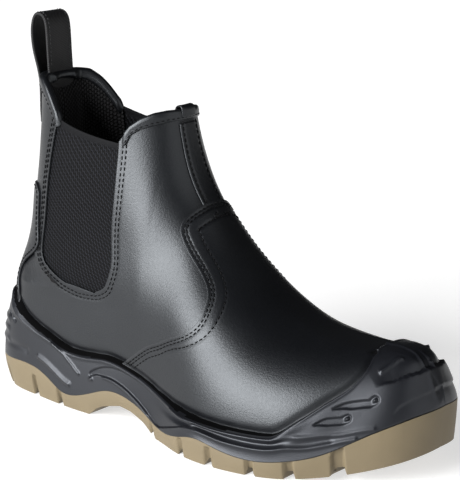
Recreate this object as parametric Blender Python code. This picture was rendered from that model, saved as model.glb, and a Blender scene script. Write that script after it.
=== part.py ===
"""Side gore work boot, right foot, built as separate pieces in metres.

X runs from heel to toe, -Y is the outer (lateral) side, Z is up and 0 is the floor.
Sizes below are millimetres. The upper's surface is one function, last_point(angle, v):
angle goes round the foot (0 heel, pi/2 lateral, pi toe, 3pi/2 medial) and v climbs from
the feather line (0), where the upper meets the sole, to above the collar (1).
"""
import bpy
import bmesh
import numpy as np
from math import pi, radians

MM = 0.001
GAP = 0.3
WALL = 2.2
VAMP_THICK = 1.3
COUNTER_THICK = 1.2
STRIP_THICK = 0.9
GORE_THICK = 1.5
INSOLE_THICK = 3.0
INSOLE_CLEAR = 0.8
LEDGE = 3.0
PARTING = 7.5
CAP_THICK = 2.6
RIM_THICK = 1.9
TREAD_BULGE = np.array([0.8, 0.8, 0.4])
LEAST_HEIGHT = 5.0
OUTLINE_REACH = 5.0
STRAP_WIDTH = 21.0
STRAP_THICK = 1.7
COLUMN_STEP = 6.0
LOW_ROWS = np.linspace(0, 1, 7)
HIGH_ROWS = np.linspace(1, 2, 13)


def table(names, *rows):
    """A short table: one row for each section, columns read by name."""
    return {name: np.array(column, float) for name, column in zip(names.split(), zip(*rows))}


# Half widths of the last from its centre line, by share of its length
WIDTHS = table(
    "share lateral medial",
    (0.10, 30.5, 30.5),
    (0.22, 35.0, 33.5),
    (0.36, 38.0, 32.0),
    (0.50, 47.0, 35.5),
    (0.62, 56.5, 40.0),
    (0.73, 56.5, 42.5),
    (0.84, 47.5, 40.5),
    (0.93, 33.0, 31.0))
HEEL_RADIUS = 31.0
TOE_RADIUS = 40.0
TOE_SWING = 7.0

# Each ring runs from the front profile down to its own height at the back
PROFILE = table(
    "front_x front_z back_z",
    (301.4, 28.0, 24.0),
    (300.8, 40.0, 29.0),
    (298.5, 53.0, 34.0),
    (291.0, 62.5, 38.5),
    (279.0, 65.6, 42.5),
    (264.5, 64.8, 46.5),
    (250.0, 65.2, 51.0),
    (235.5, 67.0, 55.5),
    (220.5, 70.7, 60.5),
    (206.2, 77.4, 66.0),
    (192.3, 86.7, 72.5),
    (179.8, 97.5, 80.0),
    (168.2, 109.2, 89.0),
    (158.0, 121.2, 99.5),
    (148.5, 133.6, 112.0),
    (141.5, 146.5, 126.0),
    (136.8, 160.0, 142.0),
    (133.5, 174.0, 160.0),
    (131.0, 188.0, 180.0),
    (129.3, 202.0, 200.0))

# Back of the upper by height, how far its heel is drawn in, and half width of its leg
BACK = table(
    "z x tuck",
    (24, -4.0, 5.8), (40, -4.0, 7.0), (56, 0.4, 5.9), (72, 5.6, 4.6), (88, 12.0, 5.5),
    (104, 17.6, 4.5), (122, 22.5, 2.0), (140, 25.3, 1.7), (160, 26.4, 2.0), (180, 26.0, 3.2),
    (200, 24.5, 3.5))
LEG = table(
    "z half_width",
    (80, 37.0), (100, 33.7), (120, 33.5), (140, 33.0), (160, 31.0), (180, 29.0), (200, 28.0))
FEATHER = table(
    "share z",
    (0.0, 24), (0.12, 23), (0.3, 24), (0.5, 21), (0.65, 17), (0.8, 17), (0.92, 21), (1.0, 28))
DOME_POWER = 2.25
LEG_POWER = 2.4
LEG_START, LEG_FULL = 0.43, 0.90

# Top edge of the upper's collar
COLLAR = table(
    "angle v",
    (0, 0.983), (27, 0.981), (40, 0.978), (50, 0.965), (58, 0.946), (63, 0.929),
    (67.4, 0.917), (118, 0.872), (120, 0.880), (127, 0.900), (136, 0.912), (147, 0.919),
    (160, 0.922), (180, 0.921))

# Edge of the polyurethane unit on the upper: heel wing, waist, ball and toe cap
RIM = table(
    "angle v",
    (0, 0.440), (23, 0.440), (29, 0.428), (33, 0.404), (38, 0.346), (42, 0.297), (47.5, 0.223),
    (51.5, 0.173), (55.3, 0.135), (59, 0.114), (63, 0.105), (71, 0.104), (75, 0.094), (79, 0.080),
    (84, 0.066), (89, 0.047), (94, 0.033), (99, 0.026), (104, 0.024), (124, 0.024),
    (128, 0.049), (136, 0.090), (143, 0.117), (149, 0.152), (154.5, 0.191), (166, 0.234),
    (180, 0.253))

# Line where the rubber outsole meets the polyurethane, and how far both stand out
EDGE = table(
    "angle z",
    (0, 19.0), (30, 19.5), (40, 19.9), (46, 18.3), (51, 14.6), (56, 9.6), (60, 8.9),
    (64, 11.1), (68, 14.5), (72, 17.8), (77, 18.4), (81, 16.7), (85, 13.8), (90, 9.6),
    (95, 8.6), (100, 11.0), (105, 14.1), (110, 12.2), (120, 9.0), (127, 10.6), (134, 14.4),
    (143, 22.5), (156, 32.1), (166, 36.6), (180, 38.7))
FLARE = table(
    "angle lateral_floor lateral_edge medial_floor medial_edge",
    (0, 3.5, 6.0, 3.5, 6.0),
    (20, 1.5, 5.6, 2.0, 5.6),
    (45, 1.6, 4.6, 2.2, 5.0),
    (68, 4.0, 5.5, 3.6, 5.2),
    (90, 3.6, 5.7, 3.2, 5.0),
    (100, 7.5, 9.3, 5.0, 7.0),
    (110, 8.8, 10.3, 6.0, 8.0),
    (120, 8.7, 10.0, 6.2, 8.0),
    (130, 6.2, 8.0, 6.0, 7.6),
    (144, 5.6, 6.8, 5.2, 6.6),
    (160, 3.6, 5.2, 3.6, 5.2),
    (180, 1.6, 4.6, 1.6, 4.6))

# Floor profile of the outsole under the arch, then the toe spring
ARCH = table(
    "x z",
    (89.5, 0), (96, 5.0), (101, 7.4), (115, 10.6), (124, 9.6), (136, 6.0), (146, 0.6), (149, 0))
SPRING_START = 232.0
SPRING_RISE = 17.0
SPRING_LENGTH = 75.0

# Profile of the polyurethane side from rim to edge: how far out it has come at each depth
SIDE = table(
    "depth plain ball cap",
    (0.00, 0.00, 0.00, 0.00),
    (0.10, 0.16, 0.55, 0.05),
    (0.24, 0.34, 0.66, 0.12),
    (0.38, 0.50, 0.62, 0.20),
    (0.50, 0.62, 0.86, 0.30),
    (0.64, 0.74, 0.92, 0.42),
    (1.00, 1.00, 1.00, 1.00))

# Windows for the elastic, back and front edge by height on the upper
WINDOW = table(
    "v back front",
    (0.497, 75.8, 83.1),
    (0.508, 71.4, 86.6),
    (0.541, 63.2, 91.9),
    (0.587, 54.7, 96.9),
    (0.632, 51.2, 100.1),
    (0.688, 51.4, 103.8),
    (0.755, 54.2, 110.4),
    (0.820, 56.8, 115.3),
    (0.868, 59.7, 117.7),
    (0.930, 66.1, 118.5))
WINDOW_TOP_BACK = 0.917
WINDOW_TOP_FRONT = 0.869

# Edge of the vamp, as degrees from the front line, and of the heel counter, from the back
VAMP = table(
    "v half_angle",
    (0.060, 105.5), (0.089, 102.2), (0.147, 95.6), (0.213, 87.8), (0.300, 79.1), (0.401, 64.8),
    (0.454, 50.8), (0.493, 42.3), (0.527, 36.3), (0.554, 34.0), (0.620, 34.8), (0.657, 35.2),
    (0.681, 33.2), (0.700, 27.0), (0.713, 17.0), (0.722, 6.0))
COUNTER = table(
    "v half_angle",
    (0.440, 31.0), (0.549, 30.5), (0.587, 36.6), (0.618, 45.0), (0.688, 45.6), (0.760, 45.0),
    (0.783, 42.8), (0.797, 36.5))

BINDING = table(
    "out up",
    (0.45, -5.5), (1.4, -5.5), (1.6, 0.4), (0.4, 2.2), (-2.7, 2.2), (-4.1, 0.4), (-4.1, -7.0),
    (-2.85, -7.0), (-2.85, 0.6), (0.45, 0.6))
FRONT_BINDING_END = 120.0
STEEPEST = 1.6
STRIP_NEAR, STRIP_FAR = 170.5, 191.0
STRIP_TOP = 0.896

# Middle line of the pull loop in the plane of symmetry, and how far it bends round the leg
LOOP = table(
    "x z bend",
    (25.3, 164.0, 2.0), (25.8, 176.0, 2.0), (25.6, 187.0, 2.0), (24.8, 196.0, 1.4),
    (22.9, 205.0, 0.5), (21.8, 214.0, 0.0), (22.1, 222.0, 0.0), (24.4, 227.6, 0.0),
    (28.2, 228.4, 0.0), (31.2, 224.4, 0.0), (32.2, 215.0, 0.0), (33.8, 206.0, 0.4),
    (36.3, 196.0, 1.0), (37.1, 187.0, 1.6), (36.4, 176.0, 1.9), (35.8, 168.0, 1.9))

# Channels across the tread: where, how wide, how deep, and the pair that runs along it
CHANNELS = table(
    "x width height",
    (14.0, 2.8, 4.2), (39.0, 2.8, 4.2), (64.0, 2.8, 4.2), (175.5, 2.8, 3.8),
    (199.0, 2.8, 3.8), (224.0, 2.8, 3.8), (246.0, 2.8, 4.2), (268.5, 6.0, 4.4))
SLOT_ANGLE, SLOT_WIDTH, SLOT_TOP, SLOT_DEPTH = 140.5, 6.5, 11.0, 1.8
LONG_CHANNELS = table(
    "x0 x1 y height",
    (3.0, 84.0, 0.0, 4.0), (157.0, 262.0, -22.0, 3.6), (157.0, 262.0, 18.0, 3.6))


def spline(xs, ys):
    """Natural cubic through the points of a table's two columns."""
    count = len(xs)
    step = np.diff(xs)
    system = np.eye(count)
    right = np.zeros(count)
    for i in range(1, count - 1):
        system[i, i - 1:i + 2] = step[i - 1], 2 * (step[i - 1] + step[i]), step[i]
        right[i] = 6 * ((ys[i + 1] - ys[i]) / step[i] - (ys[i] - ys[i - 1]) / step[i - 1])
    bend = np.linalg.solve(system, right)

    def curve(x):
        x = np.asarray(x, float)
        i = np.clip(np.searchsorted(xs, x) - 1, 0, count - 2)
        after, before = xs[i + 1] - x, x - xs[i]
        cubic = (bend[i] * after**3 + bend[i + 1] * before**3) / (6 * step[i])
        low = (ys[i] / step[i] - bend[i] * step[i] / 6) * after
        high = (ys[i + 1] / step[i] - bend[i + 1] * step[i] / 6) * before
        return cubic + low + high

    return curve


def smooth(start, end, x):
    """Rises softly from 0 at start to 1 at end."""
    t = np.clip((x - start) / (end - start), 0, 1)
    return t * t * (3 - 2 * t)


def degrees_from_heel(angle):
    """Degrees from the heel on either side, 0 to 180."""
    return np.degrees(np.abs((angle + pi) % (2 * pi) - pi))


def half_width(side):
    """Half width divided by an ellipse's, so that heel and toe end round."""
    ellipse = np.sqrt(4 * WIDTHS["share"] * (1 - WIDTHS["share"]))
    ends = np.sqrt(np.array([HEEL_RADIUS, TOE_RADIUS]) * LENGTH / 2)
    shares = np.concatenate([[0], WIDTHS["share"], [1]])
    return spline(shares, np.concatenate([ends[:1], WIDTHS[side] / ellipse, ends[1:]]))


ring_share = np.linspace(0, 1, len(PROFILE["front_x"]))
front_x = spline(ring_share, PROFILE["front_x"])
front_z = spline(ring_share, PROFILE["front_z"])
back_z = spline(ring_share, PROFILE["back_z"])
back_x = spline(BACK["z"], BACK["x"])
back_tuck = spline(BACK["z"], BACK["tuck"])
leg_width = spline(LEG["z"], LEG["half_width"])
feather_z = spline(FEATHER["share"], FEATHER["z"])
HEEL_X = BACK["x"][0]
LENGTH = PROFILE["front_x"][0] - HEEL_X
lateral_width = half_width("lateral")
medial_width = half_width("medial")
fine_x = front_x(np.linspace(0, 1, 400))
fine_z = front_z(np.linspace(0, 1, 400))
tip = int(np.argmax(fine_x))
ridge_x, ridge_z = fine_x[tip:][::-1], fine_z[tip:][::-1]


def ridge_height(x):
    """Height of the upper's top line over x, carried on straight above the collar."""
    slope = (ridge_z[1] - ridge_z[0]) / (ridge_x[1] - ridge_x[0])
    beyond = ridge_z[0] + slope * (x - ridge_x[0])
    return np.where(x < ridge_x[0], beyond, np.interp(x, ridge_x, ridge_z))


def last_point(angle, v):
    """A point of the upper's outer surface: foot sections that turn into leg sections."""
    angle, v = np.broadcast_arrays(np.asarray(angle, float), np.asarray(v, float))
    share = (1 - np.cos(angle)) / 2
    ring_back, ring_front = back_z(v), front_z(v)
    x_back = back_x(ring_back)
    tuck = back_tuck(ring_back) * (1 - share)**2
    x = x_back + share * (front_x(v) - x_back) + tuck
    along = np.clip((x - tuck - (x_back - HEEL_X) * (1 - share)**2 - HEEL_X) / LENGTH, 0, 1)
    foot_z = feather_z(along)
    flat = back_z(0.0) + share * (front_z(0.0) - back_z(0.0))
    z = ring_back + share * (ring_front - ring_back) + (foot_z - flat) * (1 - v)**6
    height = np.maximum(ridge_height(x) - foot_z, LEAST_HEIGHT)
    depth = np.clip((ridge_height(x) - z) / height, 0, 1)
    dome = (1 - (1 - depth)**DOME_POWER)**(1 / DOME_POWER)
    lateral = np.sin(angle) >= 0
    ellipse = np.sqrt(4 * along * (1 - along))
    foot = np.where(lateral, lateral_width(along), medial_width(along)) * ellipse * dome
    leg = leg_width(z) * (1 - np.abs(2 * share - 1)**LEG_POWER)**(1 / LEG_POWER)
    blend = smooth(LEG_START, LEG_FULL, v)
    width = (1 - blend) * foot + blend * leg
    centre = TOE_SWING * along**2 * (1 - blend)
    return np.stack([x, centre + np.where(lateral, -1, 1) * width, z], -1)


def last_normal(angle, v, step=1e-3):
    angle, v = np.broadcast_arrays(np.asarray(angle, float), np.asarray(v, float))
    around = last_point(angle + step, v) - last_point(angle - step, v)
    inside = np.clip(v, step, 1 - step)
    upward = last_point(angle, inside + step) - last_point(angle, inside - step)
    normal = np.cross(around, upward)
    return normal / np.maximum(np.linalg.norm(normal, axis=-1, keepdims=True), 1e-12)


def shell_point(angle, v, out):
    """The upper's surface moved out along its normal."""
    return last_point(angle, v) + last_normal(angle, v) * out


def rim_v(angle):
    return np.interp(degrees_from_heel(angle), RIM["angle"], RIM["v"])


def collar_v(angle):
    return np.interp(degrees_from_heel(angle), COLLAR["angle"], COLLAR["v"])


def row_v(angle, row):
    """Heights of one ring of the upper: row 0 is the feather line, 1 the sole's rim, 2 the collar."""
    low = rim_v(angle) * min(row, 1)
    return low + (collar_v(angle) - rim_v(angle)) * max(row - 1, 0)


edge_curve = spline(EDGE["angle"], EDGE["z"])


def flare(angle, level):
    deg = degrees_from_heel(angle)
    lateral = spline(FLARE["angle"], FLARE["lateral_" + level])(deg)
    medial = spline(FLARE["angle"], FLARE["medial_" + level])(deg)
    return np.where(np.sin(angle) >= 0, lateral, medial)


def floor_z(x):
    """Underside of the outsole: flat heel, arch, flat forefoot and toe spring."""
    spring = SPRING_RISE * (np.clip(x - SPRING_START, 0, None) / SPRING_LENGTH)**1.8
    return np.interp(x, ARCH["x"], ARCH["z"]) + spring


def angle_at(x):
    """Angle of the column whose foot stands at x."""
    tuck = BACK["tuck"][0]
    straight = LENGTH - 2 * tuck
    share = (np.sqrt(straight**2 + 4 * tuck * (x - HEEL_X - tuck)) - straight) / (2 * tuck)
    return np.degrees(np.arccos(1 - 2 * share))


def columns():
    """Angles round the foot, mirrored, with columns where the floor or the collar turns."""
    turns = [float(angle_at(x)) for x in (ARCH["x"][0], ARCH["x"][2], ARCH["x"][-1])]
    turns.append(FRONT_BINDING_END)
    regular = [a for a in np.arange(0, 180.1, COLUMN_STEP)
               if all(abs(a - t) > COLUMN_STEP / 3 for t in turns)]
    side = sorted(regular + turns)
    return np.radians(side + [360 - a for a in side[-2:0:-1]])


ANGLES = columns()
BACK_BINDING_END = float(angle_at(ARCH["x"][0]))


def material(name, colour, roughness, metallic=0.0):
    mat = bpy.data.materials.new(name)
    mat.use_nodes = True
    shader = mat.node_tree.nodes["Principled BSDF"]
    shader.inputs["Base Color"].default_value = (*colour, 1)
    shader.inputs["Roughness"].default_value = roughness
    shader.inputs["Metallic"].default_value = metallic
    return mat


def add_object(name, points, faces, mat):
    """A mesh object from points in millimetres, its faces turned outward."""
    mesh = bpy.data.meshes.new(name)
    mesh.from_pydata([tuple(p) for p in np.asarray(points) * MM], [], faces)
    bm = bmesh.new()
    bm.from_mesh(mesh)
    bmesh.ops.recalc_face_normals(bm, faces=bm.faces)
    if bm.calc_volume(signed=True) < 0:
        bmesh.ops.reverse_faces(bm, faces=bm.faces)
    bm.to_mesh(mesh)
    bm.free()
    mesh.shade_smooth()
    mesh.set_sharp_from_angle(angle=radians(38))
    if mat:
        mesh.materials.append(mat)
    item = bpy.data.objects.new(name, mesh)
    bpy.context.collection.objects.link(item)
    return item


def strip_faces(first, second, closed):
    """Triangles between two rows of point numbers, each quad split the same way.

    Rows on the upper's surface always run downward, so that the facets of pieces that
    lie on one another are parallel and their gap is even.
    """
    count = len(first)
    faces = []
    for i in range(count if closed else count - 1):
        k = (i + 1) % count
        faces += [(first[i], first[k], second[k]), (first[i], second[k], second[i])]
    return faces


def strip_quads(first, second):
    """Quads between two closed rows of point numbers."""
    return [(first[i - 1], first[i], second[i], second[i - 1]) for i in range(len(first))]


def cross_faces(points, ring, parts):
    """Close a ring with chains of points that run from its lateral to its medial side."""
    half = len(ring) // 2
    chains = [[ring[0]]]
    for i in range(1, half):
        near, far = ring[i], ring[-i]
        chain = [near]
        for k in range(1, parts):
            points.append(points[near] + (points[far] - points[near]) * k / parts)
            chain.append(len(points) - 1)
        chains.append(chain + [far])
    chains.append([ring[half]])
    faces = []
    for a, b in zip(chains, chains[1:]):
        if len(a) == 1:
            faces += [(a[0], b[k], b[k + 1]) for k in range(parts)]
        elif len(b) == 1:
            faces += [(a[k + 1], a[k], b[0]) for k in range(parts)]
        else:
            faces += [(a[k], b[k], b[k + 1], a[k + 1]) for k in range(parts)]
    return faces


def ring_solid(name, rings, mat, parts=4):
    """A closed solid from rings of points, its first and last ring closed across."""
    points = [p for ring in rings for p in ring]
    size = len(rings[0])
    rows = [list(range(i * size, (i + 1) * size)) for i in range(len(rings))]
    faces = []
    for a, b in zip(rows, rows[1:]):
        faces += strip_faces(a, b, True)
    faces += cross_faces(points, rows[0], parts)
    faces += cross_faces(points, rows[-1], parts)
    return add_object(name, points, faces, mat)


def sheet_solid(name, outer, inner, mat):
    """A closed sheet between two grids of points of the same size."""
    rows, count = outer.shape[:2]
    points = np.concatenate([outer.reshape(-1, 3), inner.reshape(-1, 3)])
    index = np.arange(rows * count).reshape(rows, count)
    under = index + rows * count
    faces = []
    for i in range(rows - 1):
        faces += strip_faces(index[i], index[i + 1], False)
        faces += strip_faces(under[i], under[i + 1], False)
    border = [*index[0], *index[1:, -1], *index[-1, -2::-1], *index[-2:0:-1, 0]]
    faces += strip_faces(border, [under.flat[k] for k in border], True)
    return add_object(name, points, faces, mat)


def domain(rows, count, left, right, low, high):
    """Angles and heights of a panel's grid, from its four edges."""
    across = np.linspace(0, 1, count)[None, :]
    up = np.asarray(rows, float)[:, None]
    v = np.broadcast_to(0.1 + 0.5 * up, (len(rows), count))
    for _ in range(30):
        angle = left(v) + (right(v) - left(v)) * across
        v = low(angle) + (high(angle) - low(angle)) * up
    return angle, v


def panel(name, grid, inner, outer, mat):
    """A closed sheet between two offsets of the upper's surface. With no material it is a tool."""
    angle, v = grid
    sheet = sheet_solid(name, shell_point(angle, v, outer), shell_point(angle, v, inner), mat)
    if not mat:
        sheet.hide_render = True
        sheet.display_type = "WIRE"
    return sheet


def base_path(angles, shares):
    """The line that the sole's side follows: down the last from the rim, then straight down.

    Returns points and outward normals, a row for each share of its length.
    """
    points, normals = [], []
    for angle in angles:
        edge = float(edge_curve(degrees_from_heel(angle)))
        v = np.linspace(rim_v(angle), 0, 60)
        line = last_point(angle, v)
        out = last_normal(angle, np.maximum(v, 0.002))
        above = line[:, 2] > edge
        line, out = line[above], out[above]
        end = line[-1].copy()
        end[2] = edge
        line = np.vstack([line, end])
        out = np.vstack([out, out[-1]])
        walk = np.concatenate([[0], np.cumsum(np.linalg.norm(np.diff(line, axis=0), axis=1))])
        at = np.asarray(shares) * walk[-1]
        points.append(np.stack([np.interp(at, walk, line[:, k]) for k in range(3)], -1))
        normals.append(np.stack([np.interp(at, walk, out[:, k]) for k in range(3)], -1))
    return np.array(points).swapaxes(0, 1), np.array(normals).swapaxes(0, 1)


def side_out(angles):
    """How far the sole's side stands out from that line, a row for each depth."""
    deg = degrees_from_heel(angles)
    ball = smooth(88, 104, deg) * (1 - smooth(122, 134, deg))
    cap = smooth(122, 140, deg)
    out = []
    for plain, at_ball, at_cap in zip(SIDE["plain"], SIDE["ball"], SIDE["cap"]):
        share = plain * (1 - ball - cap) + at_ball * ball + at_cap * cap
        start = GAP + RIM_THICK + (CAP_THICK - RIM_THICK) * cap
        out.append(start + (flare(angles, "edge") - start) * share)
    return np.array(out)


def level_ring(ring, normals, out, z):
    """A ring moved out in plan and set to a height."""
    flat = normals * np.array([1, 1, 0])
    flat = flat / np.linalg.norm(flat, axis=-1, keepdims=True)
    moved = ring + flat * np.asarray(out, float)[:, None]
    moved[:, 2] = z
    return moved


def build_outsole(mat):
    path, normals = base_path(ANGLES, [1.0])
    base, out = path[0], normals[0]
    feet = last_point(ANGLES, 0.0)
    edge = level_ring(base, out, flare(ANGLES, "edge"), base[:, 2])
    floor = level_ring(feet, out, flare(ANGLES, "floor"), 0)
    floor[:, 2] = floor_z(feet[:, 0])
    middle = floor + (edge - floor) * TREAD_BULGE
    lip = level_ring(base, out, flare(ANGLES, "edge") - LEDGE, base[:, 2])
    seat = lip.copy()
    seat[:, 2] = floor_z(feet[:, 0]) + PARTING
    sole = ring_solid("outsole", [floor, middle, edge, lip, seat], mat)
    cutters = [side_slot("lateral", radians(SLOT_ANGLE)),
               side_slot("medial", radians(-SLOT_ANGLE)),
               cutter("channels_across", [across_channel(*row) for row in zip(*CHANNELS.values())]),
               cutter("channels_along", [along_channel(*row) for row in zip(*LONG_CHANNELS.values())])]
    for tool in cutters:
        cut(sole, tool)
    return sole


def side_slot(side, angle):
    """The wide shallow slot in the tread's side near the toe."""
    slot = cutter("slot_" + side, [((-SLOT_WIDTH / 2, SLOT_WIDTH / 2), (0, 12.0), (-2.0, SLOT_TOP))])
    out = last_normal(angle, 0.002) * np.array([1, 1, 0])
    out /= np.linalg.norm(out)
    foot = last_point(angle, 0.0) + out * (flare(angle, "floor") - SLOT_DEPTH)
    slot.location = (foot[0] * MM, foot[1] * MM, float(floor_z(foot[0])) * MM)
    slot.rotation_euler = (0, 0, np.arctan2(out[1], out[0]) - pi / 2)
    return slot


def across_channel(x, width, height):
    """Corners of a channel over the whole width of the tread."""
    top = float(floor_z(x)) + height
    return (x - width / 2, x + width / 2), (-80.0, 80.0), (-2.0, top)


def along_channel(x0, x1, y, height):
    return (x0, x1), (y - 1.5, y + 1.5), (-2.0, height)


def cutter(name, boxes):
    """Bars joined in one hidden object."""
    points, faces = [], []
    for (x0, x1), (y0, y1), (z0, z1) in boxes:
        low = list(range(len(points), len(points) + 4))
        high = [k + 4 for k in low]
        points += [(x, y, z) for z in (z0, z1) for x, y in ((x0, y0), (x1, y0), (x1, y1), (x0, y1))]
        faces += [low[::-1], high] + strip_quads(low, high)
    tool = add_object(name, points, faces, None)
    tool.hide_render = True
    tool.display_type = "WIRE"
    return tool


def cut(item, tool):
    step = item.modifiers.new("cut " + tool.name, "BOOLEAN")
    step.operation = "DIFFERENCE"
    step.solver = "EXACT"
    step.object = tool


def build_midsole(mat):
    """The polyurethane unit: a tray for the upper, with the toe cap and heel wing."""
    path, normals = base_path(ANGLES, SIDE["depth"])
    side = path + normals * side_out(ANGLES)[..., None]
    base, out = path[-1], normals[-1]
    feet = last_point(ANGLES, 0.0)
    edge = flare(ANGLES, "edge")
    side[-1] = level_ring(base, out, edge, base[:, 2] + GAP)
    lip = level_ring(base, out, edge - LEDGE - GAP, base[:, 2] + GAP)
    seat = lip.copy()
    seat[:, 2] = floor_z(feet[:, 0]) + PARTING + GAP
    wall = [shell_point(ANGLES, row_v(ANGLES, row), GAP) for row in LOW_ROWS[::-1]]
    floor = wall[-1].copy()
    floor[:, 2] -= GAP
    return ring_solid("midsole", [seat, lip, *side[::-1], *wall[:-1], floor], mat)


def build_insole(mat):
    angles = ANGLES[::2]
    low = shell_point(angles, 0.002, -WALL - INSOLE_CLEAR)
    low[:, 2] = last_point(angles, 0.0)[:, 2] + GAP / 2
    high = low + np.array([0, 0, INSOLE_THICK])
    return ring_solid("insole", [low, high], mat, parts=2)


def build_upper(mat):
    """One hollow solid: outer rings, half as many inner rings, and both rims."""
    rows = np.concatenate([LOW_ROWS, HIGH_ROWS[1:]])[::-1]
    few = ANGLES[::2]
    outer = [shell_point(ANGLES, row_v(ANGLES, row), 0.0) for row in rows]
    inner = [shell_point(few, row_v(few, row), -WALL) for row in rows[::2]]
    outer.append(shell_point(ANGLES, collar_v(ANGLES), -WALL))
    points = np.concatenate(outer + inner[1:])
    wide = np.arange(len(outer) * len(ANGLES)).reshape(len(outer), -1)
    wide = np.roll(wide, 1, axis=0)
    narrow = wide.size + np.arange((len(inner) - 1) * len(few)).reshape(len(inner) - 1, -1)
    faces = []
    for rings in (wide, narrow):
        for a, b in zip(rings, rings[1:]):
            faces += strip_faces(list(a), list(b), True)
    for many, half in ((wide[0], narrow[0]), (wide[-1], narrow[-1])):
        for k, here in enumerate(half):
            after = half[(k + 1) % len(half)]
            a, b, c = (many[(2 * k + j) % len(many)] for j in range(3))
            faces += [(a, b, here), (b, after, here), (b, c, after)]
    upper = add_object("upper", points, faces, mat)
    for side in ("lateral", "medial"):
        grid = window_grid(side, GAP, over=True)
        tool = panel("window_" + side, grid, -WALL - OUTLINE_REACH, OUTLINE_REACH, None)
        cut(upper, tool)
    return upper


def window_grid(side, grow, over=False):
    """The grid of a gore, or of the cut for it, which is wider and runs out at the top."""
    wide = np.degrees(grow / 36)
    back = spline(WINDOW["v"], WINDOW["back"] - wide)
    front = spline(WINDOW["v"], WINDOW["front"] + wide)
    turn = (lambda a: np.radians(a)) if side == "lateral" else (lambda a: 2 * pi - np.radians(a))
    first, last = WINDOW["v"][0], WINDOW["v"][-1]

    def top(angle):
        back_top, front_top = WINDOW["back"][-1], WINDOW["front"][-1]
        share = np.clip((degrees_from_heel(angle) - back_top) / (front_top - back_top), 0, 1)
        return WINDOW_TOP_BACK + (WINDOW_TOP_FRONT - WINDOW_TOP_BACK) * share

    rows = list(np.linspace(0, 1, 11)**1.6) + ([1.17] if over else [])
    return domain(rows, 8, lambda v: turn(back(np.minimum(v, last))),
                  lambda v: turn(front(np.minimum(v, last))), lambda a: first - grow / 250, top)


def build_gore(side, mat):
    return panel("gore_" + side, window_grid(side, -0.1), -GAP - GORE_THICK, -GAP, mat)


def overlay(name, grid, first, last, rows, thick, mat):
    """A panel on the upper: a layer with the upper's own rings, cut to the panel's outline."""
    turned = np.concatenate([ANGLES - 2 * pi, ANGLES])
    angles = turned[(turned > radians(first)) & (turned < radians(last))]
    levels = [row_v(angles, row) for row in HIGH_ROWS[rows:0:-1]]
    levels.append(row_v(angles, 1.0) + GAP / 70)
    angle, v = np.broadcast_arrays(angles, np.array(levels))
    layer = panel(name, (angle, v), GAP, GAP + thick, mat)
    outline = panel(name + "_outline", grid, -OUTLINE_REACH, thick + OUTLINE_REACH, None)
    keep = layer.modifiers.new("cut to outline", "BOOLEAN")
    keep.operation = "INTERSECT"
    keep.solver = "EXACT"
    keep.object = outline
    return layer


def build_vamp(mat):
    half = spline(VAMP["v"], VAMP["half_angle"])
    low, top = VAMP["v"][0], VAMP["v"][-1]

    def spread(v):
        return np.radians(half(np.clip(v, low, top)))

    grid = domain(np.linspace(0, 1, 19), 17, lambda v: pi - spread(v), lambda v: pi + spread(v),
                  lambda a: rim_v(a) - 0.02, lambda a: top)
    return overlay("vamp", grid, 66, 294, 13, VAMP_THICK, mat)


def build_counter(mat):
    half = spline(COUNTER["v"], COUNTER["half_angle"])
    low, high = COUNTER["v"][0], COUNTER["v"][-1]

    def spread(v):
        return np.radians(half(np.clip(v, low, high)))

    grid = domain(np.linspace(0, 1, 11), 5, lambda v: -spread(v), spread,
                  lambda a: low - 0.03, lambda a: high)
    return overlay("heel_counter", grid, -55, 55, 12, COUNTER_THICK, mat)


def build_strip(mat):
    near, far = radians(STRIP_NEAR), radians(STRIP_FAR)
    grid = domain(np.linspace(0, 1, 5), 3, lambda v: near, lambda v: far,
                  lambda a: VAMP["v"][-1] + 0.004, lambda a: STRIP_TOP)
    return overlay("front_strip", grid, 160, 200, 15, STRIP_THICK, mat)


def build_binding(name, start, end, mat):
    """A folded binding: a channel section that straddles the collar's edge."""
    turned = np.concatenate([ANGLES - 2 * pi, ANGLES])
    near_end = radians(COLUMN_STEP / 10)
    inside = (turned > radians(start) - near_end) & (turned < radians(end) + near_end)
    angles = turned[inside]
    v = collar_v(angles)
    climb = np.linalg.norm(last_point(angles, v) - last_point(angles, v - 0.01), axis=1) / 0.01
    slope = np.gradient(v * climb) / np.linalg.norm(np.gradient(last_point(angles, 0.9), axis=0), axis=1)
    steep = np.minimum(np.hypot(1, slope), STEEPEST)
    section = list(zip(BINDING["out"], BINDING["up"]))
    grid = [shell_point(angles, v + up * steep / climb, out) for out, up in section]
    points = np.array(grid).swapaxes(0, 1).reshape(-1, 3)
    size = len(section)
    rows = [list(range(k * size, (k + 1) * size)) for k in range(len(angles))]
    faces = [rows[0], rows[-1][::-1]]
    for a, b in zip(rows, rows[1:]):
        faces += strip_faces(a, b, True)
    return add_object(name, points, faces, mat)


def build_loop(mat):
    """The pull loop: a strap bent over the back of the collar, one leg outside, one inside."""
    line = np.stack([LOOP["x"], LOOP["z"]], -1)
    run = np.gradient(line, axis=0)
    run /= np.linalg.norm(run, axis=1, keepdims=True)
    side = np.stack([-run[:, 1], run[:, 0]], -1)
    across = np.linspace(-1, 1, 4)
    sheets = []
    for shift in (STRAP_THICK / 2, -STRAP_THICK / 2):
        x = line[:, :1] + side[:, :1] * shift + LOOP["bend"][:, None] * across**2
        z = line[:, 1:] + side[:, 1:] * shift + 0 * across
        y = 0 * x + across * STRAP_WIDTH / 2
        sheets.append(np.stack([x, y, z], -1))
    return sheet_solid("pull_loop", sheets[0], sheets[1], mat)


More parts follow.
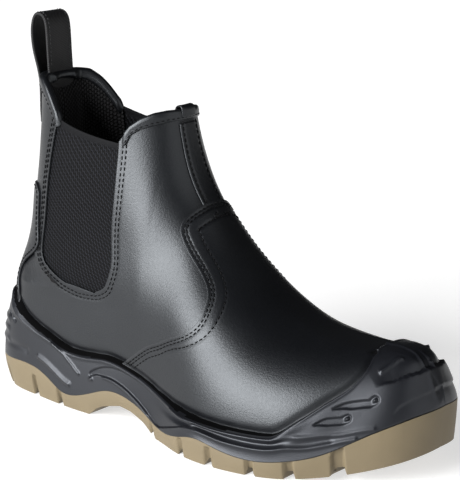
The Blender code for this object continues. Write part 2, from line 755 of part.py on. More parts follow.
def main():
    for item in list(bpy.data.objects):
        bpy.data.objects.remove(item, do_unlink=True)
    leather = material("black_leather", (0.012, 0.012, 0.014), 0.38)
    pieces = [
        build_outsole(material("tan_rubber", (0.40, 0.32, 0.20), 0.62)),
        build_midsole(material("dark_polyurethane", (0.055, 0.056, 0.064), 0.45)),
        build_insole(material("insole_fabric", (0.02, 0.02, 0.022), 0.85)),
        build_upper(leather),
        build_vamp(leather),
        build_counter(leather),
        build_strip(leather),
        build_binding("collar_back", -BACK_BINDING_END, BACK_BINDING_END, leather),
        build_binding("collar_front", FRONT_BINDING_END, 360 - FRONT_BINDING_END, leather),
        build_loop(material("loop_webbing", (0.018, 0.018, 0.02), 0.6))]
    elastic = material("black_elastic", (0.015, 0.016, 0.018), 0.8)
    for side in ("lateral", "medial"):
        pieces.append(build_gore(side, elastic))
    corners = np.concatenate([[tuple(v.co) for v in item.data.vertices] for item in pieces])
    middle = (corners.min(0) + corners.max(0)) / 2
    boot = bpy.data.objects.new("boot", None)
    boot.location = (-middle[0], -middle[1], 0)
    bpy.context.collection.objects.link(boot)
    for item in bpy.data.objects:
        if item is not boot:
            item.parent = boot


main()
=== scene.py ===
# %% [markdown]
# # A side gore work boot
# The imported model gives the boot's solids in metres. This file dresses them: each solid gets
# a finer surface from the same shape tables, with its seams, stitches, moulded ribs and
# finish. Sizes below are millimetres, X runs from heel to toe and -Y is the outer side.

# %% Load the frame
from math import pi, radians

import bpy
import numpy as np
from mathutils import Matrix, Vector


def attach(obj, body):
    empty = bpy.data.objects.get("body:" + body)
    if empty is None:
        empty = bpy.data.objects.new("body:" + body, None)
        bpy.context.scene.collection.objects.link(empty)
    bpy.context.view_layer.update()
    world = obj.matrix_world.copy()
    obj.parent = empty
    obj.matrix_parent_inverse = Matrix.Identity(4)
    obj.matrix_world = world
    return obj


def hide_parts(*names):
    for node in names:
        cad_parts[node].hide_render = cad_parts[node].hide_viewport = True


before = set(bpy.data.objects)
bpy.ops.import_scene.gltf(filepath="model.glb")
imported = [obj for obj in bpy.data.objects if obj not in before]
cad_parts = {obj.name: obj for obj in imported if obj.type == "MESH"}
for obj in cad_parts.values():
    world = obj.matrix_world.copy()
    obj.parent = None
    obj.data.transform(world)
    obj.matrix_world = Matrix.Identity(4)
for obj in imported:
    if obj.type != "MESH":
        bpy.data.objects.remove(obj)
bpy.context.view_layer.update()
MM = 0.001
ORIGIN = np.array([150.61, -4.951, 0.0])
print("solids:", sorted(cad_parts))

# %% [markdown]
# ## Camera
# The photograph looks down at the boot's outer side from in front. A long lens far away
# keeps the boot's proportions calm. The place and the lens were fitted to its outline.

# %% Camera
AIM = np.array([163.87, 0.0, 109.65])
AZIMUTH, ELEVATION = radians(38.06), radians(14.10)
DISTANCE, LENS = 1071.97, 141.25
toward = np.array([np.sin(AZIMUTH) * np.cos(ELEVATION), -np.cos(AZIMUTH) * np.cos(ELEVATION),
                   np.sin(ELEVATION)])
camera_data = bpy.data.cameras.new("camera")
camera_data.lens = LENS
camera_data.sensor_width = 36.0
camera = bpy.data.objects.new("camera", camera_data)
camera.location = (AIM + toward * DISTANCE - ORIGIN) * MM
camera.rotation_euler = Vector(-toward).to_track_quat("-Z", "Y").to_euler()
bpy.context.collection.objects.link(camera)
bpy.context.scene.camera = camera
print("camera at", [round(c, 3) for c in camera.location])

# %% [markdown]
# ## The last
# A boot is pulled over a last, a solid foot shape. Its widths, its front profile and its back
# are short tables, and one function turns an angle round the foot and a height into a point.
# A sculpted mesh would look as good, but every seam would then have to be found again by
# hand. With a function each seam is a line of angles and heights.


# %% Tables and curves
def table(names, *rows):
    """A short table: one row for each section, columns read by name."""
    return {name: np.array(column, float) for name, column in zip(names.split(), zip(*rows))}


def spline(xs, ys):
    """Natural cubic through the points of a table's two columns."""
    count = len(xs)
    step = np.diff(xs)
    system, right = np.eye(count), np.zeros(count)
    for i in range(1, count - 1):
        system[i, i - 1:i + 2] = step[i - 1], 2 * (step[i - 1] + step[i]), step[i]
        right[i] = 6 * ((ys[i + 1] - ys[i]) / step[i] - (ys[i] - ys[i - 1]) / step[i - 1])
    bend = np.linalg.solve(system, right)

    def curve(x):
        x = np.asarray(x, float)
        i = np.clip(np.searchsorted(xs, x) - 1, 0, count - 2)
        after, before = xs[i + 1] - x, x - xs[i]
        cubic = (bend[i] * after**3 + bend[i + 1] * before**3) / (6 * step[i])
        low = (ys[i] / step[i] - bend[i] * step[i] / 6) * after
        high = (ys[i + 1] / step[i] - bend[i + 1] * step[i] / 6) * before
        return cubic + low + high

    return curve


def smooth(start, end, x):
    """Rises softly from 0 at start to 1 at end."""
    t = np.clip((x - start) / (end - start), 0, 1)
    return t * t * (3 - 2 * t)


def softened(xs, ys, width=1.6):
    """Straight lines through a column of degrees, with their corners rounded."""
    fine = np.arange(-20, 200.01, 0.2)
    mirrored = np.where(fine < 0, -fine, np.where(fine > 180, 360 - fine, fine))
    kernel = np.exp(-(np.arange(-4 * width, 4 * width + 0.01, 0.2) / width)**2)
    soft = np.convolve(np.interp(mirrored, xs, ys), kernel / kernel.sum(), "same")
    return lambda degrees: np.interp(degrees, fine, soft)


def walked(line):
    """How far along a line each of its points lies."""
    return np.concatenate([[0], np.cumsum(np.linalg.norm(np.diff(line, axis=0), axis=1))])


def unit_long(vectors):
    return vectors / np.maximum(np.linalg.norm(vectors, axis=-1, keepdims=True), 1e-12)


def steady(value):
    """An edge that stays at one angle or one height."""
    return lambda at: value + 0 * at


# %% Tables of the last
WIDTHS = table(
    "share lateral medial",
    (0.10, 30.5, 30.5), (0.22, 35.0, 33.5), (0.36, 38.0, 32.0), (0.50, 47.0, 35.5),
    (0.62, 56.5, 40.0), (0.73, 56.5, 42.5), (0.84, 47.5, 40.5), (0.93, 33.0, 31.0))
HEEL_RADIUS, TOE_RADIUS, TOE_SWING = 31.0, 40.0, 7.0
PROFILE = table(
    "front_x front_z back_z",
    (301.4, 28.0, 24.0), (300.8, 40.0, 29.0),
    (298.5, 53.0, 34.0), (291.0, 62.5, 38.5),
    (279.0, 65.6, 42.5), (264.5, 64.8, 46.5), (250.0, 65.2, 51.0), (235.5, 67.0, 55.5),
    (220.5, 70.7, 60.5), (206.2, 77.4, 66.0), (192.3, 86.7, 72.5), (179.8, 97.5, 80.0),
    (168.2, 109.2, 89.0), (158.0, 121.2, 99.5), (148.5, 133.6, 112.0), (141.5, 146.5, 126.0),
    (136.8, 160.0, 142.0), (133.5, 174.0, 160.0), (131.0, 188.0, 180.0), (129.3, 202.0, 200.0))
BACK = table(
    "z x tuck",
    (24, -4.0, 5.8), (40, -4.0, 7.0), (56, 0.4, 5.9), (72, 5.6, 4.6), (88, 12.0, 5.5),
    (104, 17.6, 4.5), (122, 22.5, 2.0), (140, 25.3, 1.7), (160, 26.4, 2.0), (180, 26.0, 3.2),
    (200, 24.5, 3.5))
LEG = table(
    "z half_width",
    (80, 37.0), (100, 33.7), (120, 33.5), (140, 33.0), (160, 31.0), (180, 29.0), (200, 28.0))
FEATHER = table(
    "share z",
    (0.0, 24), (0.12, 23), (0.3, 24), (0.5, 21), (0.65, 17), (0.8, 17), (0.92, 21), (1.0, 28))
DOME_POWER, LEG_POWER = 2.25, 2.4
LEG_START, LEG_FULL = 0.43, 0.90
LEAST_HEIGHT = 5.0


# %% The surface of the last
def degrees_from_heel(angle):
    return np.degrees(np.abs((angle + pi) % (2 * pi) - pi))


def half_width(side):
    """Half width divided by an ellipse's, so that heel and toe end round."""
    ellipse = np.sqrt(4 * WIDTHS["share"] * (1 - WIDTHS["share"]))
    ends = np.sqrt(np.array([HEEL_RADIUS, TOE_RADIUS]) * LENGTH / 2)
    shares = np.concatenate([[0], WIDTHS["share"], [1]])
    return spline(shares, np.concatenate([ends[:1], WIDTHS[side] / ellipse, ends[1:]]))


ring_share = np.linspace(0, 1, len(PROFILE["front_x"]))
front_x = spline(ring_share, PROFILE["front_x"])
front_z = spline(ring_share, PROFILE["front_z"])
back_z = spline(ring_share, PROFILE["back_z"])
back_x = spline(BACK["z"], BACK["x"])
back_tuck = spline(BACK["z"], BACK["tuck"])
leg_width = spline(LEG["z"], LEG["half_width"])
feather_z = spline(FEATHER["share"], FEATHER["z"])
HEEL_X = BACK["x"][0]
LENGTH = PROFILE["front_x"][0] - HEEL_X
lateral_width, medial_width = half_width("lateral"), half_width("medial")
ridge_x = front_x(np.linspace(0, 1, 800))[::-1]
ridge_z = front_z(np.linspace(0, 1, 800))[::-1]


def ridge_height(x):
    """Height of the top line over x, carried on straight above the collar."""
    slope = (ridge_z[1] - ridge_z[0]) / (ridge_x[1] - ridge_x[0])
    beyond = ridge_z[0] + slope * (x - ridge_x[0])
    return np.where(x < ridge_x[0], beyond, np.interp(x, ridge_x, ridge_z))


def last_point(angle, v):
    """A point of the upper's outer surface: foot sections that turn into leg sections."""
    angle, v = np.broadcast_arrays(np.asarray(angle, float), np.asarray(v, float))
    share = (1 - np.cos(angle)) / 2
    ring_back, ring_front = back_z(v), front_z(v)
    x_back = back_x(ring_back)
    tuck = back_tuck(ring_back) * (1 - share)**2
    x = x_back + share * (front_x(v) - x_back) + tuck
    along = np.clip((x - tuck - (x_back - HEEL_X) * (1 - share)**2 - HEEL_X) / LENGTH, 0, 1)
    foot_z = feather_z(along)
    flat = back_z(0.0) + share * (front_z(0.0) - back_z(0.0))
    z = ring_back + share * (ring_front - ring_back) + (foot_z - flat) * (1 - v)**6
    height = np.maximum(ridge_height(x) - foot_z, LEAST_HEIGHT)
    depth = np.clip((ridge_height(x) - z) / height, 0, 1)
    dome = (1 - (1 - depth)**DOME_POWER)**(1 / DOME_POWER)
    lateral = np.sin(angle) >= 0
    ellipse = np.sqrt(4 * along * (1 - along))
    foot = np.where(lateral, lateral_width(along), medial_width(along)) * ellipse * dome
    leg = leg_width(z) * (1 - np.abs(2 * share - 1)**LEG_POWER)**(1 / LEG_POWER)
    blend = smooth(LEG_START, LEG_FULL, v)
    width = (1 - blend) * foot + blend * leg
    centre = TOE_SWING * along**2 * (1 - blend)
    return np.stack([x, centre + np.where(lateral, -1, 1) * width, z], -1)


def last_normal(angle, v, step=4e-3):
    angle, v = np.broadcast_arrays(np.asarray(angle, float), np.asarray(v, float))
    around = last_point(angle + step, v) - last_point(angle - step, v)
    inside = np.clip(v, step, 1 - step)
    upward = last_point(angle, inside + step) - last_point(angle, inside - step)
    return unit_long(np.cross(around, upward))


def on_last(angle, v, out=0.0):
    """The upper's surface, moved out along its normal."""
    return last_point(angle, v) + last_normal(angle, v) * np.asarray(out, float)[..., None]


print("last: %.1f mm long" % LENGTH)

# %% [markdown]
# ## Lines on the upper
# The collar, the sole's rim, the elastic's window and the edges of the overlays are columns of
# degrees and heights. They could be drawn as curves and projected, but a table keeps each one
# tied to the last, so that it stays on the leather wherever the leather goes.

# %% Lines on the upper
COLLAR = table(
    "angle v",
    (0, 0.983), (27, 0.981), (40, 0.978), (50, 0.965), (58, 0.946), (63, 0.929),
    (67.4, 0.917), (118, 0.872), (120, 0.880), (127, 0.900), (136, 0.912), (147, 0.919),
    (160, 0.922), (180, 0.921))
RIM = table(
    "angle v",
    (0, 0.440), (23, 0.440), (29, 0.428), (33, 0.404), (38, 0.346), (42, 0.297), (47.5, 0.223),
    (51.5, 0.173), (55.3, 0.135), (59, 0.114), (63, 0.105), (71, 0.104), (75, 0.094), (79, 0.080),
    (84, 0.066), (89, 0.047), (94, 0.033), (99, 0.026), (104, 0.024), (124, 0.024),
    (128, 0.049), (136, 0.090), (143, 0.117), (149, 0.152), (154.5, 0.191), (166, 0.234),
    (180, 0.253))
WINDOW = table(
    "v back front",
    (0.497, 75.8, 83.1), (0.508, 71.4, 86.6), (0.541, 63.2, 91.9), (0.587, 54.7, 96.9),
    (0.632, 51.2, 100.1), (0.688, 51.4, 103.8), (0.755, 54.2, 110.4), (0.820, 56.8, 115.3),
    (0.868, 59.7, 117.7), (0.930, 66.1, 118.5))
WINDOW_TOP_BACK, WINDOW_TOP_FRONT = 0.917, 0.869
VAMP = table(
    "v half_angle",
    (0.060, 105.5), (0.089, 102.4), (0.147, 96.4), (0.213, 89.4), (0.290, 80.5), (0.350, 71.8),
    (0.401, 61.4), (0.454, 49.8), (0.493, 42.3), (0.527, 36.3), (0.554, 34.0), (0.620, 34.8),
    (0.657, 35.2), (0.681, 33.2), (0.700, 27.0), (0.713, 17.0), (0.722, 6.0))
COUNTER = table(
    "v half_angle",
    (0.440, 31.0), (0.549, 30.5), (0.587, 36.6), (0.618, 45.0), (0.688, 45.6), (0.760, 45.0),
    (0.783, 42.8), (0.797, 36.5))
STRIP_NEAR, STRIP_FAR, STRIP_TOP = 170.5, 191.0, 0.896
soft_rim = softened(RIM["angle"], RIM["v"])
soft_back_collar = softened(COLLAR["angle"], COLLAR["v"], 3.5)
soft_front_collar = softened(COLLAR["angle"], COLLAR["v"], 1.0)


def soft_collar(degrees):
    """Well rounded behind the elastic, with a short step before it."""
    ahead = smooth(66, 72, degrees)
    return soft_back_collar(degrees) * (1 - ahead) + soft_front_collar(degrees) * ahead


def rim_v(angle):
    return soft_rim(degrees_from_heel(angle))


def collar_v(angle):
    return soft_collar(degrees_from_heel(angle))


def climb(angle, v, step=0.01):
    """Millimetres up the upper for one unit of height."""
    return np.linalg.norm(last_point(angle, v) - last_point(angle, v - step), axis=1) / step


def beside(angle, v, shift):
    """A line on the upper, moved sideways on its surface by some millimetres."""
    step = 1e-3
    across = (last_point(angle + step, v) - last_point(angle - step, v)) / (2 * step)
    upward = (last_point(angle, v + step) - last_point(angle, v - step)) / (2 * step)
    run = np.gradient(last_point(angle, v), axis=0)
    side = unit_long(np.cross(last_normal(angle, v), run)) * shift
    a, b, c = (across**2).sum(1), (across * upward).sum(1), (upward**2).sum(1)
    p, q = (side * across).sum(1), (side * upward).sum(1)
    bottom = np.maximum(a * c - b * b, 1e-9)
    return angle + (p * c - q * b) / bottom, v + (q * a - p * b) / bottom


# %% [markdown]
# ## The sole's side
# The polyurethane unit and the tan rubber below it share one path: down the last from the rim,
# then straight down. How far they stand out at each depth is a table.

# %% Sole tables
EDGE = table(
    "angle z",
    (0, 19.0), (30, 19.5), (40, 19.9), (46, 18.3), (51, 14.6), (56, 9.6), (60, 8.9),
    (64, 11.1), (68, 14.5), (72, 17.8), (77, 18.4), (81, 16.7), (85, 13.8), (90, 9.6),
    (95, 8.6), (100, 11.0), (105, 14.1), (110, 12.2), (120, 9.0), (127, 10.6), (134, 14.4),
    (143, 22.5), (156, 32.1), (166, 36.6), (180, 38.7))
FLARE = table(
    "angle lateral_floor lateral_edge medial_floor medial_edge",
    (0, 3.5, 6.0, 3.5, 6.0), (20, 1.5, 5.6, 2.0, 5.6), (45, 1.6, 4.6, 2.2, 5.0),
    (68, 4.0, 5.5, 3.6, 5.2), (90, 3.6, 5.7, 3.2, 5.0), (100, 7.5, 9.3, 5.0, 7.0),
    (110, 8.8, 10.3, 6.0, 8.0), (120, 8.7, 10.0, 6.2, 8.0), (130, 6.2, 8.0, 6.0, 7.6),
    (144, 5.6, 6.8, 5.2, 6.6), (160, 3.6, 5.2, 3.6, 5.2), (180, 1.6, 4.6, 1.6, 4.6))
ARCH = table(
    "x z",
    (89.5, 0), (96, 5.0), (101, 7.4), (115, 10.6), (124, 9.6), (136, 6.0), (146, 0.6), (149, 0))
SIDE = table(
    "depth plain ball cap",
    (0.00, 0.00, 0.00, 0.00), (0.10, 0.16, 0.55, 0.05), (0.24, 0.34, 0.66, 0.12),
    (0.38, 0.50, 0.62, 0.20), (0.50, 0.62, 0.86, 0.30), (0.64, 0.74, 0.92, 0.42),
    (1.00, 1.00, 1.00, 1.00))
SPRING_START, SPRING_RISE, SPRING_LENGTH = 232.0, 17.0, 75.0
GAP, RIM_THICK, CAP_THICK = 0.3, 1.9, 2.6
edge_curve = spline(EDGE["angle"], EDGE["z"])


def flare(angle, level):
    deg = degrees_from_heel(angle)
    lateral = spline(FLARE["angle"], FLARE["lateral_" + level])(deg)
    medial = spline(FLARE["angle"], FLARE["medial_" + level])(deg)
    return np.where(np.sin(angle) >= 0, lateral, medial)


def floor_z(x):
    """Underside of the outsole: flat heel, arch, flat forefoot and toe spring."""
    spring = SPRING_RISE * (np.clip(x - SPRING_START, 0, None) / SPRING_LENGTH)**1.8
    return np.interp(x, ARCH["x"], ARCH["z"]) + spring


def base_path(angles, shares):
    """Down the last from the rim, then straight down to the edge: points and normals."""
    v = rim_v(angles) * np.linspace(1, 0, 60)[:, None]
    lines, outs = last_point(angles, v), last_normal(angles, np.maximum(v, 0.006))
    edges = edge_curve(degrees_from_heel(angles))
    shares = np.asarray(shares, float).reshape(len(shares), -1)
    shares = np.broadcast_to(shares, (len(shares), len(angles)))
    points, normals = [], []
    for k, edge in enumerate(edges):
        above = lines[:, k, 2] > edge
        line, out = lines[above, k], outs[above, k]
        end = np.array([*line[-1, :2], edge])
        line, out = np.vstack([line, end]), np.vstack([out, out[-1]])
        walk = walked(line)
        for made, values in ((points, line), (normals, out)):
            made.append([np.interp(shares[:, k] * walk[-1], walk, column) for column in values.T])
    return np.array(points).transpose(2, 0, 1), unit_long(np.array(normals).transpose(2, 0, 1))


LIP = table(
    "angle foot crest",
    (0, 0.02, 0.06), (18, 0.03, 0.08), (23, 0.05, 0.14), (28, 0.10, 0.27), (32, 0.12, 0.31),
    (39, 0.14, 0.31), (45, 0.14, 0.294), (50, 0.13, 0.25), (54, 0.11, 0.21), (60, 0.09, 0.20),
    (68, 0.08, 0.21), (78, 0.05, 0.19), (90, 0.03, 0.15), (99, 0.01, 0.11), (109, 0.01, 0.12),
    (117, 0.01, 0.10), (124, 0.0, 0.075), (132, 0.0, 0.055), (180, 0.0, 0.05))
ring_angles = np.radians(np.arange(0, 360, 1.0))
lip_foot = np.interp(degrees_from_heel(ring_angles), LIP["angle"], LIP["foot"])[None]
lip_line, lip_normal = (part[0] for part in base_path(ring_angles, lip_foot))
print("lip: %.0f mm round" % np.linalg.norm(np.diff(lip_line, axis=0), axis=1).sum())

# %% [markdown]
# ## Making meshes
# Every piece is a grid of points, so a grid of quads is all that has to be built. Sheets get
# their thickness from a Solidify modifier and their rounded edges from a Bevel modifier.
# Cutting pieces with booleans would also work, but it leaves ragged rows along each edge.


# %% Mesh helpers
def grid_quads(rows, columns, closed=False):
    """Quads of a grid of points, joined round if it is closed."""
    index = np.arange(rows * columns).reshape(rows, columns)
    if closed:
        index = np.concatenate([index, index[:, :1]], 1)
    return np.stack([index[:-1, :-1], index[:-1, 1:], index[1:, 1:], index[1:, :-1]], -1)


def make(name, points, quads, finishes, replaces=(), uv=None):
    """A smooth mesh from millimetres, riding with the boot."""
    points = np.asarray(points).reshape(-1, 3)
    mesh = bpy.data.meshes.new(name)
    places = ((points - ORIGIN) * MM).tolist()
    mesh.from_pydata(places, [], np.asarray(quads).reshape(-1, 4).tolist())
    for finish in finishes:
        mesh.materials.append(finish)
    if uv is not None:
        corners = np.empty(len(mesh.loops), np.int32)
        mesh.loops.foreach_get("vertex_index", corners)
        at_corners = np.asarray(uv, np.float32).reshape(-1, 2)[corners]
        mesh.uv_layers.new(name="weave").data.foreach_set("uv", at_corners.ravel())
    mesh.shade_smooth()
    mesh.update()
    piece = bpy.data.objects.new(name, mesh)
    bpy.context.collection.objects.link(piece)
    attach(piece, "root")
    if replaces:
        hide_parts(*replaces)
    print("%s: %d faces" % (name, len(mesh.polygons)))
    return piece


def give_attribute(piece, name, values):
    """A number on each point, for the finish to read."""
    layer = piece.data.attributes.new(name, "FLOAT", "POINT")
    layer.data.foreach_set("value", np.asarray(values, np.float32).ravel())


def thicken(piece, thick, edge=0.4, inside=0):
    """Thickness inward, and a rounded edge."""
    solid = piece.modifiers.new("thickness", "SOLIDIFY")
    solid.thickness = thick * MM
    solid.offset = -1
    solid.material_offset = inside
    if edge:
        bevel = piece.modifiers.new("rounded edge", "BEVEL")
        bevel.width = edge * MM
        bevel.segments = 2
        bevel.limit_method = "ANGLE"
        bevel.angle_limit = radians(50)


def near_line(points, line, reach):
    """Which points lie near a line, how far away, and the line's nearest sample."""
    box = np.all((points > line.min(0) - reach) & (points < line.max(0) + reach), axis=-1)
    index = np.flatnonzero(box)
    away, nearest = np.full(len(index), 1e9), np.zeros(len(index), int)
    for start in range(0, len(index), 4000):
        part = slice(start, start + 4000)
        gaps = np.linalg.norm(points[index[part], None] - line[None], axis=-1)
        nearest[part] = gaps.argmin(1)
        away[part] = gaps.min(1)
    close = away < reach
    return index[close], away[close], nearest[close]


def trough(points, normals, line, width, depth):
    """Press a soft trough along a line, or raise a ridge where depth is negative."""
    index, away, _ = near_line(points, line, width * 2.2)
    points[index] -= normals[index] * (depth * np.exp(-(away / width)**2))[:, None]


def apart(line, others, least):
    """The stretch of a moved line that has kept its distance from the edge it came from."""
    gaps = np.linalg.norm(line[:, None] - others[None], axis=-1).min(1)
    return gaps > least


def evenly(line, spacing):
    """Points along a line at an even spacing."""
    walk = walked(line)
    count = max(2, int(walk[-1] / spacing) + 1)
    at = np.linspace(0, walk[-1], count)
    return np.stack([np.interp(at, walk, column) for column in line.T], -1)


def across(ring, count):
    """Straight rows of points from one side of a closed ring to the other."""
    middle, share = len(ring) // 2, np.linspace(0, 1, count)[:, None]
    rows = [ring[k] + (ring[-k] - ring[k]) * share for k in range(1, middle)]
    return np.array([ring[[0] * count], *rows, ring[[middle] * count]])


# %% [markdown]
# ## Shader arithmetic
# A finish is a few formulas: a mask times a colour, one minus a mask. Wiring each product by
# hand hides the formula, so a small class wraps a socket and lets Python's own signs add the
# Math nodes.


# %% Finish and Wire
class Wire:
    """A value inside a finish, which can be added, multiplied and so on."""

    def __init__(self, finish, socket):
        self.finish, self.socket = finish, socket

    def math(self, operation, *values):
        inputs = dict(enumerate(values))
        return self.finish.node("ShaderNodeMath", {"operation": operation}, inputs)

    def __add__(self, other):
        return self.math("ADD", self, other)

    def __sub__(self, other):
        return self.math("SUBTRACT", self, other)

    def __rsub__(self, other):
        return self.math("SUBTRACT", other, self)

    def __mul__(self, other):
        return self.math("MULTIPLY", self, other)

    def __truediv__(self, other):
        return self.math("DIVIDE", self, other)

    __radd__, __rmul__ = __add__, __mul__

    def cos(self):
        return self.math("COSINE", self)

    def part(self):
        """The part after the decimal point."""
        return self.math("FRACT", self)

    def size(self):
        """The value without its sign."""
        return self.math("ABSOLUTE", self)

    def between(self, low, high):
        """0 below low, 1 above high, and soft between."""
        settings = {"interpolation_type": "SMOOTHSTEP"}
        return self.finish.node("ShaderNodeMapRange", settings,
                                {"Value": self, "From Min": low, "From Max": high})


class Finish:
    """One material. Constants go straight on the shader's own sockets."""

    def __init__(self, name, **constants):
        self.material = bpy.data.materials.new(name)
        self.material.use_nodes = True
        self.tree = self.material.node_tree
        self.shader = self.tree.nodes["Principled BSDF"]
        for socket, value in constants.items():
            self.shader.inputs[socket.replace("_", " ")].default_value = value

    def node(self, kind, settings=None, inputs=None, output=0):
        """Any node: its settings first, then the values or links of its sockets."""
        made = self.tree.nodes.new(kind)
        for key, value in (settings or {}).items():
            setattr(made, key, value)
        by_name = {s.identifier: s for s in made.inputs}
        by_name |= {s.name: s for s in reversed(made.inputs) if s.enabled}
        for key, value in (inputs or {}).items():
            socket = made.inputs[key] if isinstance(key, int) else by_name[key]
            if isinstance(value, Wire):
                self.tree.links.new(value.socket, socket)
            else:
                socket.default_value = value
        outputs = {s.identifier: s for s in made.outputs}
        outputs |= {s.name: s for s in reversed(made.outputs) if s.enabled}
        return Wire(self, made.outputs[output] if isinstance(output, int) else outputs[output])

    def feed(self, socket, wire):
        self.tree.links.new(wire.socket, self.shader.inputs[socket])

    def place(self):
        """Metres in the boot's own frame."""
        return self.node("ShaderNodeTexCoord", output="Object")

    def noise(self, scale, detail=2.0):
        """Cloudy values about 0.5, with so many clouds to a metre."""
        return self.node("ShaderNodeTexNoise", None,
                         {"Vector": self.place(), "Scale": scale, "Detail": detail}, "Fac")

    def mark(self, name):
        """The value of a piece's attribute."""
        return self.node("ShaderNodeAttribute", {"attribute_name": name}, output="Fac")

    def weave(self):
        """Places across and along a piece's cloth."""
        place = self.node("ShaderNodeUVMap", {"uv_map": "weave"})
        return [self.node("ShaderNodeSeparateXYZ", None, {"Vector": place}, axis) for axis in "XY"]

    def blend(self, mask, first, second):
        """One colour where the mask is 0, another where it is 1."""
        colours = [c if isinstance(c, Wire) else (*c, 1.0) for c in (first, second)]
        return self.node("ShaderNodeMix", {"data_type": "RGBA"},
                         {"Factor_Float": mask, "A_Color": colours[0], "B_Color": colours[1]},
                         "Result_Color")

    def colour(self, mask, first, second):
        self.feed("Base Color", self.blend(mask, first, second))

    def relief(self, height, millimetres):
        """Bump from a height of 0 to 1."""
        self.feed("Normal", self.node("ShaderNodeBump", None, {
            "Height": height, "Distance": millimetres * MM, "Strength": 1.0}, "Normal"))


# %% [markdown]
# ## Black leather
# The upper is smooth coated leather: nearly black, with a satin coat and a grain so fine that
# it only breaks up the highlights. A photographed texture would do, but two sizes of noise
# give the same speckle at any distance and need no image.

# %% Leather finish
leather = Finish("coated leather", IOR=1.49, Specular_Tint=(0.90, 0.95, 1.0, 1))
grain = leather.node("ShaderNodeTexVoronoi", {"feature": "SMOOTH_F1"},
                     {"Vector": leather.place(), "Scale": 1100.0, "Smoothness": 0.6}, "Distance")
clouds = leather.noise(40.0)
speckle = leather.noise(700.0)
# The overlays' edge rows carry a mask that paints them lighter, a painted highlight along each
# edge, and makes them a little rougher.
painted_edge_highlight = leather.mark("painted_edge_highlight")
dye = leather.blend(clouds, (0.0014, 0.0016, 0.0022), (0.0026, 0.0029, 0.0040))
leather.colour(painted_edge_highlight, dye, (0.012, 0.0125, 0.014))
leather.feed("Roughness", 0.31 + 0.07 * clouds + 0.10 * speckle + 0.06 * painted_edge_highlight)
leather.relief(0.6 * grain + 0.5 * speckle, 0.07)
print("leather nodes:", len(leather.tree.nodes))

# %% [markdown]
# ## The upper
# One piece of leather wraps the heel and the leg, with a window in each side for the elastic.
# Its grid of points is warped so that two of its columns run along the window's edges. The
# quads between them are left out, and the window's edge is as smooth as the table.

# %% The warped grid of the upper
WINDOW_LOW, WINDOW_MIDDLE = WINDOW["v"][0], 80.5
COLUMN_BACK, COLUMN_FRONT = 62, 104
window_back = spline(WINDOW["v"], WINDOW["back"])
window_front = spline(WINDOW["v"], WINDOW["front"])


def window_edges(v):
    """Degrees of the window's two edges, which part again below it."""
    inside = np.clip(v, WINDOW_LOW, WINDOW["v"][-1])
    below = smooth(0, 0.30, WINDOW_LOW - v)
    back = window_back(inside) * (1 - below) + COLUMN_BACK * below
    front = window_front(inside) * (1 - below) + COLUMN_FRONT * below
    return back, front


def warped(column, row):
    """Angle and height of a point of the upper's grid; column 0 to 180, row -1 to 1."""
    v = 0.5 + 0.0 * column * row
    for _ in range(40):
        back, front = window_edges(v)
        inside, before = ((column - at) / (beyond - at) for at, beyond in
                          ((COLUMN_BACK, COLUMN_FRONT), (COLUMN_FRONT, 180)))
        knots = (np.minimum(column, COLUMN_BACK) / COLUMN_BACK * back
                 + np.clip(inside, 0, 1) * (front - back) + np.clip(before, 0, 1) * (180 - front))
        rim, top = soft_rim(knots), soft_collar(knots)
        v = np.where(row < 0, rim * (1 + row), rim + (top - rim) * row)
    return np.radians(knots), v


half = np.concatenate([np.linspace(0, COLUMN_BACK, 72),
                       np.linspace(COLUMN_BACK, COLUMN_FRONT, 46)[1:],
                       np.linspace(COLUMN_FRONT, 180, 92)[1:]])
window_rim, window_top = soft_rim(WINDOW_MIDDLE), soft_collar(WINDOW_MIDDLE)
window_row = float((WINDOW_LOW - window_rim) / (window_top - window_rim))
levels = np.concatenate([[-1, -0.8, -0.6, -0.5, -0.4, -0.32, -0.26, -0.2, -0.15, -0.1, -0.05],
                         np.linspace(0, window_row, 64), np.linspace(window_row, 1, 76)[1:]])
half_angle, half_v = warped(half[None, :], levels[:, None])
upper_angle = np.concatenate([half_angle, 2 * pi - half_angle[:, -2:0:-1]], 1)
upper_v = np.concatenate([half_v, half_v[:, -2:0:-1]], 1)
print("upper grid:", upper_v.shape, "window row", round(window_row, 3))

# %% Seam lines
SIDES = ((1, "lateral"), (-1, "medial"))
MM_PER_V, MM_PER_DEGREE, MM_PER_RADIAN = 257, 0.62, 60


def turned(side, degrees):
    """The angle on the lateral side or on the medial one."""
    return np.radians(degrees) if side > 0 else 2 * pi - np.radians(degrees)


def window_line(side, count=260):
    """The window's edge from its back top, round its foot, to its front top."""
    heights = WINDOW_LOW + (0.925 - WINDOW_LOW) * np.linspace(1, 0, count)**1.7
    back, front = window_back(heights), window_front(heights)
    degrees = np.concatenate([back, front[::-1]])
    v = np.concatenate([heights, heights[::-1]])
    line = evenly(np.stack([degrees, v * MM_PER_V / MM_PER_DEGREE], -1), 1.2)
    degrees, v = (np.convolve(np.pad(column, 2, "edge"), np.ones(5) / 5, "valid")
                  for column in line.T)
    return turned(side, degrees), v / MM_PER_V * MM_PER_DEGREE


def spread(edge):
    """Half the angle that an overlay covers at each height."""
    curve = spline(edge["v"], edge["half_angle"])
    return lambda v: np.radians(curve(np.clip(v, edge["v"][0], edge["v"][-1])))


def edge_line(edge, middle, count=300):
    """An overlay's edge, from one side over its top to the other side."""
    v = np.linspace(edge["v"][0], edge["v"][-1], count)
    half = spread(edge)(v)
    angle = np.concatenate([middle - half, middle + half[::-1]])
    line = np.stack([angle * MM_PER_RADIAN, np.concatenate([v, v[::-1]]) * MM_PER_V], -1)
    line = evenly(line, 1.0)
    return line[:, 0] / MM_PER_RADIAN, line[:, 1] / MM_PER_V


